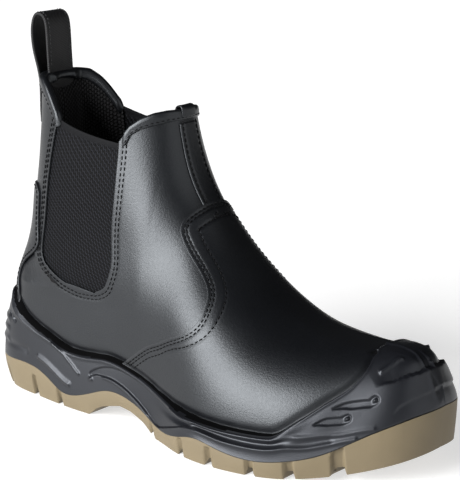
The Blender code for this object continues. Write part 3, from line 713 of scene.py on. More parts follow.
GORE_ROWS = (2.6, 4.9)
VAMP_ROWS = ((2.0, 2.0), (3.7, 3.7), (10.0, 6.4))
SHIFT_STEPS = 6
UNDER_COLLAR = 0.016
gore_seams = []
for side, tag in SIDES:
    for row in GORE_ROWS:
        a, h = beside(*window_line(side), -side * row)
        under = h < collar_v(a) - UNDER_COLLAR
        gore_seams.append((a[under], h[under]))
print("rows of stitches beside the elastic:", len(gore_seams))

# %% The upper's leather
SEAM_WIDTH = 0.8
LIP_TROUGH = 2.2, 1.2
upper_points = last_point(upper_angle, upper_v)
upper_normals = last_normal(upper_angle, upper_v)
flat_points = upper_points.reshape(-1, 3)
flat_normals = upper_normals.reshape(-1, 3)
for angle, v in gore_seams:
    trough(flat_points, flat_normals, last_point(angle, v), SEAM_WIDTH, 0.25)
trough(flat_points, flat_normals, lip_line, *LIP_TROUGH)
quads = grid_quads(*upper_v.shape, closed=True)
columns = upper_v.shape[1]
first, last = (int(np.flatnonzero(half == at)[0]) for at in (COLUMN_BACK, COLUMN_FRONT))
above = np.flatnonzero(levels >= window_row)[0]
keep = np.ones(quads.shape[:2], bool)
keep[above:, first:last] = False
keep[above:, columns - last:columns - first] = False
lining = Finish("mesh lining", Roughness=0.9)
lining.colour(lining.noise(900.0), (0.004, 0.004, 0.004), (0.022, 0.022, 0.024))
upper = make("upper_leather", flat_points, quads[keep], [leather.material, lining.material],
             ["upper"])
thicken(upper, 2.2, 0.4, inside=1)

# %% [markdown]
# ## Stitches
# Each stitch is a short bead of thread that dips into the leather at both ends. A curve with
# dashes could stand for them, but beads catch the light one by one, as on the real seam.


# %% Stitch maker
def above_last(angle, v, out):
    """A line at some distance above the last, with its normals."""
    return np.column_stack([on_last(angle, v, out), last_normal(angle, v)])


def beads(name, paths, finish, spacing=3.2, length=2.35, thick=0.30):
    """Beads of thread along paths of points with their normals."""
    ring = np.linspace(0, 2 * pi, 7)[:-1]
    along = np.array([-1.0, -0.86, -0.35, 0.35, 0.86, 1.0])
    size = np.array([0.25, 0.75, 1.0, 1.0, 0.75, 0.25])
    lift = np.array([-0.45, -0.10, 0.10, 0.10, -0.10, -0.45])
    points, quads, total = [], [], 0
    pattern = grid_quads(len(along), len(ring), closed=True).reshape(-1, 4)
    for path in paths:
        path = evenly(path, spacing)
        run = unit_long(np.gradient(path[:, :3], axis=0))
        up = unit_long(path[:, 3:])
        side = np.cross(run, up)
        wide, high = (size[:, None] * wave(ring) * thick for wave in (np.cos, np.sin))
        shape = (path[:, None, None, :3]
                 + run[:, None, None] * (along * length / 2)[None, :, None, None]
                 + side[:, None, None] * wide[None, ..., None]
                 + up[:, None, None] * (high + lift[:, None])[None, ..., None])
        for bead in shape:
            quads.append(pattern + total)
            points.append(bead.reshape(-1, 3))
            total += len(points[-1])
    make(name, np.concatenate(points), np.concatenate(quads), [finish.material], ())


def sewn(name, seams, out):
    """Stitches on leather that lies at some distance above the last."""
    beads(name, [above_last(angle, v, out) for angle, v in seams], thread)


thread = Finish("black thread", Roughness=0.55, Specular_IOR_Level=0.12,
                Base_Color=(0.0015, 0.0015, 0.0018, 1))
sewn("gore_stitches", gore_seams, 0.0)

# %% [markdown]
# ## Overlays
# The vamp, the heel counter and the strips down the front and the back are cut from the same
# leather and lie on the upper. Each is a grid between four edges, moved out by its thickness.


# %% Panels between four edges
def domain(rows, count, left, right, low, high):
    """Angles and heights of a panel's grid, from its four edges."""
    across = np.linspace(0, 1, count)[None, :]
    up = np.asarray(rows, float)[:, None]
    v = np.broadcast_to(0.1 + 0.5 * up, (len(rows), count))
    for _ in range(40):
        angle = left(v) + (right(v) - left(v)) * across
        v = low(angle) + (high(angle) - low(angle)) * up
    return angle, v


def overlay(name, grid, thick, grooves, replaces):
    """Leather of one thickness on the upper, with a trough along each seam."""
    angle, v = grid
    points = on_last(angle, v, thick).reshape(-1, 3)
    normals = last_normal(angle, v).reshape(-1, 3)
    for a, h in grooves:
        trough(points, normals, on_last(a, h, thick), SEAM_WIDTH, 0.28)
    trough(points, normals, lip_line + lip_normal * thick, *LIP_TROUGH)
    quads = grid_quads(*angle.shape)
    piece = make(name, points, quads, [leather.material], replaces)
    # The grid's outer rows are marked for the painted highlight along the overlay's edges.
    painted_edge_highlight_rows = np.zeros(angle.shape)
    painted_edge_highlight_rows[0] = painted_edge_highlight_rows[-1] = painted_edge_highlight_rows[:, 0] = painted_edge_highlight_rows[:, -1] = 0.8
    give_attribute(piece, "painted_edge_highlight", painted_edge_highlight_rows)
    thicken(piece, thick - 0.05, 0.5)


# %% Vamp
VAMP_THICK, COUNTER_THICK, STRIP_THICK, BACK_STRIP_THICK = 1.5, 1.4, 1.1, 1.3
vamp_half, vamp_top = spread(VAMP), VAMP["v"][-1]
vamp_grid = domain(1 - np.linspace(1, 0, 150)**1.25, 170, lambda v: pi - vamp_half(v),
                   lambda v: pi + vamp_half(v), lambda a: rim_v(a) - 0.02, steady(vamp_top))
vamp_edge = edge_line(VAMP, pi)
vamp_seams = []
for row in VAMP_ROWS:
    reach = row[1] + (row[0] - row[1]) * smooth(0.30, 0.50, vamp_edge[1])
    a, h = vamp_edge
    for _ in range(SHIFT_STEPS):
        a, h = beside(a, h, -reach[:, None] / SHIFT_STEPS)
    keep = apart(last_point(a, h), last_point(*vamp_edge), 0.7 * reach) & (h > rim_v(a) + 0.004)
    vamp_seams.append((a[keep], h[keep]))
overlay("vamp_leather", vamp_grid, VAMP_THICK, vamp_seams, ["vamp"])
sewn("vamp_stitches", vamp_seams, VAMP_THICK)

# %% Heel counter
counter_half, counter_low, counter_top = spread(COUNTER), COUNTER["v"][0], COUNTER["v"][-1]
counter_grid = domain(np.linspace(0, 1, 90), 90, lambda v: -counter_half(v), counter_half,
                      steady(counter_low - 0.10), steady(counter_top))
counter_seams = [beside(*edge_line(COUNTER, 0.0), -2.0)]
overlay("heel_counter_leather", counter_grid, COUNTER_THICK, counter_seams, ["heel_counter"])
sewn("counter_stitches", counter_seams, COUNTER_THICK)


# %% Strips down the front and the back
def straight_seams(near, far, inset, low, high):
    """Two rows of stitches, each as far in from its edge."""
    v = np.linspace(low, high, 60)
    return [(np.full(60, near + inset), v), (np.full(60, far - inset), v)]


near, far, back_half = radians(STRIP_NEAR), radians(STRIP_FAR), radians(14.0)
strip_grid = domain(np.linspace(0, 1, 60), 24, steady(near), steady(far),
                    steady(vamp_top - 0.006), steady(STRIP_TOP))
strip_seams = straight_seams(near, far, 0.055, vamp_top + 0.004, STRIP_TOP)
overlay("front_strip_leather", strip_grid, STRIP_THICK, strip_seams, ["front_strip"])
sewn("strip_stitches", strip_seams, STRIP_THICK)
back_grid = domain(np.linspace(0, 1, 70), 20, steady(-back_half), steady(back_half),
                   steady(counter_top - 0.012), lambda a: collar_v(a) - 0.012)
back_seams = straight_seams(-back_half, back_half, 0.045, counter_top + 0.012, 0.955)
overlay("back_strip_leather", back_grid, BACK_STRIP_THICK, back_seams, ())
sewn("back_strip_stitches", back_seams, BACK_STRIP_THICK)

# %% [markdown]
# ## Elastic
# The gore is woven elastic: short slanted ribs in staggered columns, with a plain folded band
# along its top. The ribs are too small to model, so they are a product of two waves, which
# drives both the relief and the colour: the gaps between the ribs are painted near black, a
# painted shade, and the rib tops lighter, a painted highlight.

# %% Elastic finish
def cells(finish, width, height, slant):
    """How far out of a cell each place is, in staggered columns of slanted cells."""
    sideways, upward = finish.weave()
    columns = sideways / width
    in_column = columns.part()
    stagger = ((columns - in_column) * 0.5).part()
    in_cell = (upward / height + stagger + slant * (in_column - 0.5)).part()
    sideways, lengthways = (in_column - 0.5).size() * 2.0, (in_cell - 0.5).size() * 2.0
    return sideways * sideways + lengthways * lengthways


elastic = Finish("ribbed elastic", Roughness=0.70, Specular_IOR_Level=0.10)
rib = cells(elastic, width=1.75, height=3.3, slant=0.3).between(0.45, 1.05)
woven = elastic.mark("woven")
# Colour and relief both follow the ribs: painted shade in the gaps, a painted highlight on the rib
# tops.
rib_relief_and_painted_shade = rib * woven + (1 - woven) * 0.25
elastic.colour(rib_relief_and_painted_shade, (0.0003, 0.0003, 0.0004), (0.010, 0.0108, 0.0135))
elastic.relief(rib_relief_and_painted_shade, 0.55)

# %% Gore panels
GORE_THICK, GORE_UNDER, BAND_HEIGHT, BAND_RAISED = 1.3, 2.5, 3.0, 0.45


def gore_top(angle):
    """Along the top the elastic sags a little between its corners."""
    share = np.clip((degrees_from_heel(angle) - 66) / (118 - 66), 0, 1)
    sag = 0.002 * np.sin(pi * share)
    return WINDOW_TOP_BACK + (WINDOW_TOP_FRONT - WINDOW_TOP_BACK) * share - sag


def gore_edge(side, window_edge, under):
    """An edge of the elastic, some degrees under the leather."""
    return lambda v: turned(side, window_edge(np.clip(v, WINDOW_LOW, 0.93)) + under)


for side, tag in SIDES:
    angle, v = domain(np.linspace(0, 1, 110)**1.4, 50, gore_edge(side, window_back, -GORE_UNDER),
                      gore_edge(side, window_front, GORE_UNDER), steady(WINDOW_LOW - 0.012),
                      gore_top)
    below_top = (gore_top(angle) - v) * MM_PER_V
    band = 1 - smooth(BAND_HEIGHT, BAND_HEIGHT + 0.8, below_top)
    weave = np.stack([degrees_from_heel(angle) * 1.05, v * 240], -1)
    gore = make("gore_%s_elastic" % tag, on_last(angle, v, BAND_RAISED * band - GORE_THICK),
                grid_quads(*angle.shape), [elastic.material], ["gore_" + tag],
                weave)
    give_attribute(gore, "woven", smooth(BAND_HEIGHT + 0.2, BAND_HEIGHT + 1.0, below_top))
    thicken(gore, GORE_THICK, 0.3)

# %% [markdown]
# ## Collar bindings
# The collar's edge is padded and turned over: a soft roll of leather that runs along the edge
# behind the elastic and before it. Its section is a short table that straddles the edge.

# %% Bindings
BINDING = table(
    "out up",
    (0.35, -4.4), (0.80, -4.8), (1.10, -4.4), (1.25, -2.8), (1.45, -1.2), (1.25, 0.2), (0.5, 1.0),
    (-0.8, 1.3), (-2.2, 1.1), (-3.3, 0.3), (-3.9, -1.0), (-3.9, -2.8), (-3.4, -4.0), (-2.5, -4.2),
    (-2.3, -2.4), (-2.1, -0.7), (-1.0, -0.2), (0.1, -0.4), (0.2, -2.4))
LOOP_PAD_WIDTH, LOOP_PAD_GROWTH = 24.0, 1.25


def over_loop(angles):
    """1 where the lining has to cover the loop's inner leg."""
    return 1 - smooth(LOOP_PAD_WIDTH - 4, LOOP_PAD_WIDTH + 8, degrees_from_heel(angles))


def binding(name, start, end, replaces):
    """A padded roll along the collar's edge, closed at both ends, and its seam's place."""
    angles = np.radians(np.linspace(start, end, int(abs(end - start) / 0.9)))
    v = collar_v(angles)
    rate = climb(angles, v)
    run = np.linalg.norm(np.gradient(last_point(angles, 0.9), axis=0), axis=1)
    steep = np.minimum(np.hypot(1, np.gradient(v * rate) / run), 1.6)
    section = np.stack([np.append(column, column[0]) for column in BINDING.values()], -1)
    section = evenly(section, 0.45)[:-1]
    from_end = np.minimum(np.arange(len(angles)), np.arange(len(angles))[::-1])
    ease = np.sqrt(np.minimum(1, from_end / 3.5 + 0.10))
    middle_out, middle_up = section.mean(0)
    rings = []
    for out, up in section:
        inward = 1 + LOOP_PAD_GROWTH * over_loop(angles) * (out < -2.6)
        grown_out = middle_out + (out * inward - middle_out) * ease
        grown_up = middle_up + (up - middle_up) * ease
        rings.append(on_last(angles, v + grown_up * steep / rate, grown_out))
    quads = grid_quads(len(angles), len(section), closed=True)
    points = np.array(rings).transpose(1, 0, 2)
    make(name, points, quads, [leather.material], replaces)
    return angles[4:-4], (v - COLLAR_SEAM * steep / rate)[4:-4]


COLLAR_SEAM = 3.6
sewn("collar_stitches", [binding("collar_back_roll", -67.6, 67.6, ["collar_back"]),
                         binding("collar_front_roll", 119.6, 240.4, ["collar_front"])], 1.15)

# %% [markdown]
# ## Lining and front tab
# Inside, the collar is padded: mesh cloth over foam, which also covers the loop's inner leg.
# Its cells are round and close together. In front, the strip's top is folded over the edge.

# %% Padded lining
mesh_cloth = Finish("mesh lining cloth", Roughness=0.85, Specular_IOR_Level=0.15)
hole = 1 - cells(mesh_cloth, width=1.5, height=1.7, slant=0.0).between(0.25, 0.9)
raised = hole * (0.45 + 0.75 * mesh_cloth.noise(260.0))
mesh_cloth.colour(raised, (0.0012, 0.0012, 0.0013), (0.020, 0.020, 0.021))
mesh_cloth.relief(raised, 0.5)
PAD_LOW, PAD_INSIDE, PAD_DEEP, PAD_OVER_LOOP = 0.70, 2.45, 2.6, 3.6
angle, v = domain(np.linspace(0, 1, 60), 150, steady(radians(-68.0)), steady(radians(68.0)),
                  steady(PAD_LOW), lambda a: collar_v(a) - 0.008)
down = (collar_v(angle) - v) / (collar_v(angle) - PAD_LOW)
crown = np.sqrt(smooth(0.0, 0.20, down)) * (1 - smooth(0.45, 0.95, down))
ends = 1 - smooth(58, 67, degrees_from_heel(angle))
depth = PAD_INSIDE + crown * ends * (PAD_DEEP + PAD_OVER_LOOP * over_loop(angle))
weave = np.stack([np.degrees(angle) * 0.55, v * MM_PER_V], -1)
pad = make("collar_lining", on_last(angle, v, -depth), grid_quads(*angle.shape),
           [mesh_cloth.material], (), weave)

# %% Front tab
def through(rows, count):
    """A smooth curve through the rows of a table."""
    knots = np.arange(len(next(iter(rows.values()))), dtype=float)
    fine = np.linspace(0, knots[-1], count)
    return np.stack([spline(knots, column)(fine) for column in rows.values()], -1)


TAB = table(
    "out up",
    (1.9, -3.6), (2.1, -1.0), (2.2, 0.8), (1.8, 2.2), (0.6, 3.2), (-1.2, 3.5), (-3.0, 2.9),
    (-4.3, 1.4), (-4.8, -0.8), (-4.7, -4.0))
angles = np.linspace(radians(STRIP_NEAR + 3), radians(STRIP_FAR - 3), 16)
top_v = collar_v(angles)
points = np.array([on_last(angles, top_v + up / climb(angles, top_v), out)
                   for out, up in through(TAB, 40)])
quads = grid_quads(*points.shape[:2])
thicken(make("front_tab", points, quads, [leather.material], ()), 1.1, 0.4)

# %% [markdown]
# ## Pull loop
# A strap of thick webbing is sewn to the back of the leg, one leg outside and one inside, and
# bends over the collar. It is a table of points in the plane of symmetry, swept sideways.

# %% Webbing finish and loop
webbing = Finish("loop webbing", Roughness=0.6, Specular_IOR_Level=0.3)
sideways, upward = webbing.weave()
TWILL_SPACING = 1.3
twill = ((sideways + upward) * (2 * pi / TWILL_SPACING)).cos() * 0.5 + 0.5
webbing.colour(twill, (0.003, 0.003, 0.0035), (0.007, 0.007, 0.008))
webbing.relief(twill, 0.15)
LOOP = table(
    "x z bend",
    (26.1, 164.0, 1.7), (26.3, 176.0, 1.7), (26.1, 187.0, 1.7), (25.0, 196.0, 1.2),
    (22.9, 205.0, 0.5), (21.8, 214.0, 0.0), (22.1, 222.0, 0.0), (24.4, 227.6, 0.0),
    (28.4, 228.8, 0.0), (32.4, 225.2, 0.0), (33.8, 216.0, 0.0), (34.1, 206.0, 0.2),
    (34.3, 196.0, 0.6), (34.4, 188.0, 1.0), (34.2, 180.0, 1.4))
LOOP_ROWS, STRAP_HALF, STRAP_THICK, SEAM_AT = 240, 10.5, 2.2, 0.80
line = through(LOOP, LOOP_ROWS)
run = unit_long(np.gradient(line[:, :2], axis=0))
normal = np.stack([-run[:, 1], run[:, 0]], -1)
turn = np.linspace(0, 2 * pi, 49)[:-1]
wide, high = (np.sign(wave(turn)) * np.abs(wave(turn))**power * half for wave, power, half in
              ((np.cos, 0.35, STRAP_HALF), (np.sin, 0.6, STRAP_THICK / 2)))
from_end = np.minimum(np.arange(LOOP_ROWS), np.arange(LOOP_ROWS)[::-1])
ends = 0.35 + 0.65 * smooth(0, 12, from_end)[:, None]
edge_roll = 1 + 0.25 * smooth(0.80, 0.95, np.abs(wide) / STRAP_HALF)
high = high * edge_roll * ends
bent = line[:, 2:] * (wide / STRAP_HALF)**2
points = np.stack([line[:, :1] + normal[:, :1] * high + bent, np.broadcast_to(wide, bent.shape),
                   line[:, 1:2] + normal[:, 1:] * high], -1)
weave = np.stack(np.broadcast_arrays(wide, walked(line[:, :2])[:, None]), -1)
make("pull_loop_webbing", points, grid_quads(*bent.shape, closed=True), [webbing.material],
     ["pull_loop"], weave)
outward = np.stack([normal[:, 0], np.zeros(LOOP_ROWS), normal[:, 1]], -1)
outward *= np.sign(outward[LOOP_ROWS // 2, 2])
loop_paths = []
for share in (-SEAM_AT, SEAM_AT):
    seam = np.stack([line[:, 0] + line[:, 2] * share**2, np.full(LOOP_ROWS, share * STRAP_HALF),
                     line[:, 1]], -1)
    loop_paths.append(np.column_stack([seam + outward * STRAP_THICK * 0.52, outward])[6:200])
loop_thread = Finish("loop thread", Roughness=0.5, Base_Color=(0.018, 0.018, 0.020, 1))
beads("loop_stitches", loop_paths, loop_thread, 2.4, 1.6, 0.22)

# %% [markdown]
# ## The polyurethane unit
# The unit is poured round the upper, so the leather sinks into a trough behind its lip, whose faces
# are given a near black, matt finish of painted shade.
# Below the lip the mould leaves ridges, grooves, slots and ledges. They are lines on the
# unit's side, given as places round it and shares of the way down, and each one pushes the
# grid's points out or in. Bump alone would lose them in the outline. A place is a number of
# degrees from the heel, but 180 to 200 cross the flat tip of the toe, and the inner side
# follows from 200 to 380.

# %% The unit's plain side
COLUMN_SPACING, SIDE_ROWS = 0.56, 54
TROUGH_DEEP, CREST_BEAD = 1.2, 0.45
BRIDGE_COLUMNS, BRIDGE_CROWN = 34, 1.2
BRIDGE_SPAN, AROUND = 20, 380
TIP_SHARES = np.linspace(0, 1, BRIDGE_COLUMNS + 2)[1:-1]


def spaced(start, end):
    """Degrees from start to end, at an even spacing along the unit's side."""
    fine = np.arange(start, end + 0.01, 0.25)
    walk = walked(base_path(np.radians(fine), [0.5])[0][0])
    return np.interp(np.linspace(0, walk[-1], int(walk[-1] / COLUMN_SPACING)), walk, fine)


def bridged(values):
    """Columns over the toe's flat tip, between the last lateral and the first medial one."""
    before, after = values[:, :toe_column], values[:, toe_column:]
    t = TIP_SHARES.reshape((1, -1) + (1,) * (values.ndim - 2))
    return np.concatenate([before, before[:, -1:] * (1 - t) + after[:, :1] * t, after], 1)


lateral_columns, medial_columns = spaced(0, 179.75), spaced(180.25, 360)[:-1]
toe_column = len(lateral_columns)
side_angles = np.radians(np.concatenate([lateral_columns, medial_columns]))
deg = degrees_from_heel(side_angles)
foot_share, crest_share = (np.interp(deg, LIP["angle"], LIP[k]) for k in ("foot", "crest"))
side_shares = foot_share + (1 - foot_share) * np.linspace(0, 1, SIDE_ROWS)[:, None]
path, outward = base_path(side_angles, side_shares)
edge_out = flare(side_angles, "edge")
path, outward, side_shares = bridged(path), bridged(outward), bridged(side_shares)
outward = unit_long(outward)
deg, edge_out, foot_share, crest_share = bridged(np.stack([deg, edge_out, foot_share, crest_share]))
SIDE_COLUMNS = len(deg)
place_round = np.concatenate([lateral_columns, 180 + BRIDGE_SPAN * TIP_SHARES,
                              medial_columns + BRIDGE_SPAN])
ball = smooth(88, 104, deg) * (1 - smooth(122, 134, deg))
cap = smooth(122, 140, deg)
share_out = sum(spline(SIDE["depth"], SIDE[kind])(side_shares) * weight for kind, weight in
                (("plain", 1 - ball - cap), ("ball", ball), ("cap", cap)))
start = GAP + RIM_THICK + (CAP_THICK - RIM_THICK) * cap
stand_out = start + (edge_out - start) * share_out
tip = np.clip((place_round - 180) / BRIDGE_SPAN, 0, 1)
stand_out = stand_out + BRIDGE_CROWN * 4 * tip * (1 - tip) * (1 - side_shares)
up_lip = np.clip((side_shares - foot_share) / (crest_share - foot_share), 0, 1)
stand_out = (stand_out + TROUGH_DEEP) * np.sin(up_lip * pi / 2)**0.85 - TROUGH_DEEP
side_length = np.linalg.norm(np.diff(path, axis=0), axis=-1).sum(0) / (1 - foot_share)
crest_bead = CREST_BEAD * np.exp(-((side_shares - crest_share) * side_length)**2)
side_points = path + outward * (stand_out + crest_bead)[..., None]
print("unit's side: %d columns, up to %.0f mm deep" % (SIDE_COLUMNS, side_length.max()))

# %% Moulded lines
MOULDED = (
    # name, how far it stands out, half width, then places and shares
    ("heel ridge", 1.0, 0.8, (52, 0.215), (54, 0.215), (57, 0.25), (60, 0.37), (62.8, 0.537)),
    ("heel bump", 1.1, 1.5, (45.8, 0.731), (50.5, 0.713), (54.8, 0.713), (59.3, 0.781)),
    ("heel hollow", -0.8, 2.2, (22.0, 0.80), (26.3, 0.788), (34, 0.781), (39.8, 0.763)),
    ("heel slot", -1.3, 0.8, (26.0, 0.37), (27.5, 0.395)),
    ("heel slot", -1.3, 0.8, (30.2, 0.405), (32.0, 0.42)),
    *(("back rib", 0.8, 1.7, (-27, share), (0, share), (27, share))
      for share in (0.456, 0.594, 0.744)),
    ("arch ridge", 0.5, 0.8, (71.2, 0.64), (74, 0.676), (77.2, 0.739), (79.8, 0.795), (82.2, 0.858),
     (84.5, 0.905), (87.2, 0.95)),
    ("arch stud", 1.1, 0.9, (66.9, 0.645), (67.4, 0.655)),
    ("upper rib", 0.6, 1.2, (97, 0.10), (102.8, 0.10), (108.8, 0.12), (116.5, 0.10), (122, 0.12),
     (126, 0.25), (131, 0.488), (140.5, 0.769), (146, 0.87), (151, 0.95)),
    ("lower rib", 0.8, 1.1, (95.5, 0.13), (99.2, 0.15), (102, 0.25), (105, 0.45), (110.8, 0.50),
     (117, 0.481), (124.2, 0.50), (131, 0.744), (140.5, 0.888), (145, 0.97)),
    ("hollow between the ribs", -0.6, 1.8, (104, 0.27), (108.8, 0.31), (116.5, 0.29), (123, 0.32),
     (131, 0.615), (138, 0.78)),
    ("toe ridge", 1.4, 1.0, (154.5, 0.288), (162.2, 0.319), (169, 0.345)),
    ("centre seam", 0.9, 0.75, (188, 0.03), (187.6, 0.2), (185.6, 0.4), (183, 0.5), (181, 0.6),
     (176.2, 0.65), (175, 0.73), (175.5, 0.83), (177.2, 0.97)),
)
SLOTS = (
    ((138.0, 0.213), (141.2, 0.281), (145.2, 0.419), (149.2, 0.544), (151.2, 0.552)),
    ((133.5, 0.331), (135.5, 0.375), (138.0, 0.45), (140.8, 0.537), (142.5, 0.544)))
SLOT_DEPTH, SLOT_HALF, SLOT_STUD = 1.2, 1.9, 1.2
LEDGES = (
    # depth, how far it fades, +1 above the line or -1 below it, then places and shares
    (2.8, 8.0, 1, (151.2, 0.406), (158, 0.494), (165.8, 0.55), (173, 0.585), (180, 0.594),
     (190, 0.594)),
    (1.0, 6.0, -1, (155.8, 0.875), (159.2, 0.80), (164.2, 0.785), (172.2, 0.80), (180, 0.80),
     (190, 0.80)))
FIELD = table(
    "angle top bottom",
    (66.4, 0.52, 0.53), (66.8, 0.47, 0.60), (68.8, 0.40, 0.575), (71.2, 0.34, 0.619),
    (74, 0.29, 0.656), (77.2, 0.25, 0.719), (79.8, 0.24, 0.775), (82.2, 0.24, 0.838),
    (84.5, 0.24, 0.888), (87.2, 0.23, 0.938), (90.2, 0.22, 1.0), (92, 0.21, 0.975),
    (96.2, 0.21, 0.769), (99.8, 0.24, 0.613), (103.2, 0.34, 0.42), (104.5, 0.37, 0.37))
FIELD_DEPTH, HOLLOW_DEPTH = 1.0, 1.3


def on_side(place, share):
    """Points of the unit's side at places round it and shares of the way down."""
    column = np.interp(place % AROUND, place_round, np.arange(SIDE_COLUMNS))
    foot = np.interp(column, np.arange(SIDE_COLUMNS), foot_share)
    row = (share - foot) / (1 - foot) * (SIDE_ROWS - 1)
    left = np.clip(column.astype(int), 0, SIDE_COLUMNS - 2)
    high = np.clip(row.astype(int), 0, SIDE_ROWS - 2)
    a, b = (column - left)[:, None], np.clip(row - high, 0, 1)[:, None]
    upper, lower = (plain_side[at, left] * (1 - a) + plain_side[at, left + 1] * a
                    for at in (high, high + 1))
    return upper * (1 - b) + lower * b


def side_line(places, mirrored):
    """A smooth line through places on the side, and a line a little higher up."""
    fine = np.linspace(0, len(places) - 1, 30 * len(places))
    place, share = (np.interp(fine, np.arange(len(places)), column) for column in zip(*places))
    place, share = (np.convolve(np.pad(column, 7, "edge"), np.ones(15) / 15, "valid")
                    for column in (place, share))
    place = AROUND - place if mirrored else place
    return tuple(on_side(place, np.clip(share - higher, 0, 1)) for higher in (0, 0.03))


plain_side = side_points.copy()
flat_side = side_points.reshape(-1, 3)
flat_plain = plain_side.reshape(-1, 3)
flat_out = outward.reshape(-1, 3)
push = np.zeros(len(flat_side))
for mirrored in (False, True):
    for name, height, width, *places in MOULDED:
        if mirrored and name in ("back rib", "centre seam"):
            continue
        line = side_line(places, mirrored)[0]
        index, away, _ = near_line(flat_plain, line, width * 2.4)
        push[index] += height * np.exp(-(away / width)**2)
    for places in SLOTS:
        line = side_line(places, mirrored)[0]
        index, away, nearest = near_line(flat_plain, line, SLOT_HALF * 1.8)
        along = nearest / (len(line) - 1)
        half = SLOT_HALF * np.clip(0.1 + along * 2.4, 0, 1)
        push[index] -= SLOT_DEPTH * (1 - smooth(half - 0.5, half + 0.6, away))
        index, away, _ = near_line(flat_plain, line[-12:], 2.4)
        push[index] += (SLOT_STUD + SLOT_DEPTH * 0.6) * np.exp(-(away / 0.9)**2)
    for depth, fade, above, *places in LEDGES:
        line, higher = side_line(places, mirrored)
        index, away, nearest = near_line(flat_plain, line, fade * 2.2)
        rise = ((flat_plain[index] - line[nearest]) * (higher - line)[nearest]).sum(-1) * above
        taper = smooth(0.0, 0.22, nearest / (len(line) - 1))
        inside = (nearest > 0) & (nearest < len(line) - 1) & (rise > 0)
        sunk = depth * np.exp(-(away / fade)**1.5) * smooth(0, 0.9, away) * taper
        push[index[inside]] -= sunk[inside]
top, bottom = (np.interp(deg, FIELD["angle"], FIELD[k], left=0, right=0) for k in ("top", "bottom"))
below_top, above_bottom = (side_shares - top) * side_length, (bottom - side_shares) * side_length
inset = smooth(-0.2, 0.9, below_top) * smooth(-0.1, 0.7, above_bottom) * (bottom > 0)
push -= (FIELD_DEPTH * inset).reshape(-1)
toe_hollow = smooth(160, 174, deg) * np.exp(-((side_shares - 0.70) / 0.13)**2)
push -= (HOLLOW_DEPTH * toe_hollow).reshape(-1)
flat_side += flat_out * push[:, None]
print("moulded lines:", 2 * len(MOULDED), "slots:", 2 * len(SLOTS))

# %% The polyurethane unit
flange = [path[0] + outward[0] * out for out in (-3.2, -2.0)]
tuck = path[-1] + outward[-1] * (edge_out - 3.0)[:, None]
unit_points = np.concatenate([flange, side_points, tuck[None]])
polyurethane = Finish("dark polyurethane", IOR=1.46, Specular_Tint=(0.88, 0.92, 1.0, 1))
fleck = polyurethane.noise(1500.0)
polyurethane.colour(polyurethane.noise(160.0), (0.0028, 0.0031, 0.0044), (0.0048, 0.0052, 0.0068))
polyurethane.feed("Roughness", 0.34 + 0.12 * fleck)
polyurethane.relief(fleck, 0.04)
# Painted shade: the trough's faces get a near black, rough, hardly reflecting finish, so the band
# between leather and lip reads dark.
trough_painted_shade = Finish("trough painted shade", Roughness=0.9, Specular_IOR_Level=0.05,
                     Base_Color=(0.0012, 0.0012, 0.0014, 1))
unit = make("midsole_unit", unit_points, grid_quads(len(unit_points), SIDE_COLUMNS, closed=True),
            [polyurethane.material, trough_painted_shade.material], ["midsole"])
# The flange rows and the lip's inner wall take the painted shade finish.
painted_shade_faces = np.concatenate([np.ones((len(flange), SIDE_COLUMNS)), up_lip < 0.55])
unit.data.polygons.foreach_set("material_index", painted_shade_faces.astype(np.int32).ravel())

# %% [markdown]
# ## The tread
# The tan rubber outsole is moulded with lugs. Its side continues the unit's, and its underside
# is a grid from side to side whose points are lifted along the channels.

# %% The tan outsole
NOTCHES = table(
    "x width height depth",
    (12.8, 2.2, 9.0, 2.0), (41.1, 3.2, 9.5, 2.0), (64.9, 3.2, 8.0, 2.0), (145.2, 2.4, 6.0, 1.6),
    (176.5, 3.2, 7.0, 2.2), (198.5, 3.4, 7.5, 2.2), (224.8, 3.6, 8.5, 2.2), (245.6, 4.0, 9.5, 2.2),
    (268.7, 6.0, 12.0, 2.4))
CHANNEL_HEIGHT = 4.0
LEVEL = np.array([1, 1, 0])
tread_angles = np.radians(np.arange(0, 360, 0.4))
base, out = base_path(tread_angles, [1.0])
out, foot_out = (unit_long(normal * LEVEL) for normal in (out[0], last_normal(tread_angles, 0.006)))
feet = last_point(tread_angles, 0.0)
top = base[0] + out * flare(tread_angles, "edge")[:, None]
floor = feet + foot_out * flare(tread_angles, "floor")[:, None]
floor[:, 2] = floor_z(feet[:, 0])
bow = np.linspace(0, 1, 22)[:, None, None]
tread = top + (floor - top) * np.concatenate([bow**1.6, bow**1.6, bow], -1)


def channel_lift(points):
    """How far the channels lift the underside at each point."""
    lift = np.zeros(points.shape[:-1])
    for x, width in zip(NOTCHES["x"], NOTCHES["width"]):
        inside = 1 - smooth(width / 2 - 0.3, width / 2 + 0.9, np.abs(points[..., 0] - x))
        lift = np.maximum(lift, CHANNEL_HEIGHT * inside)
    return lift


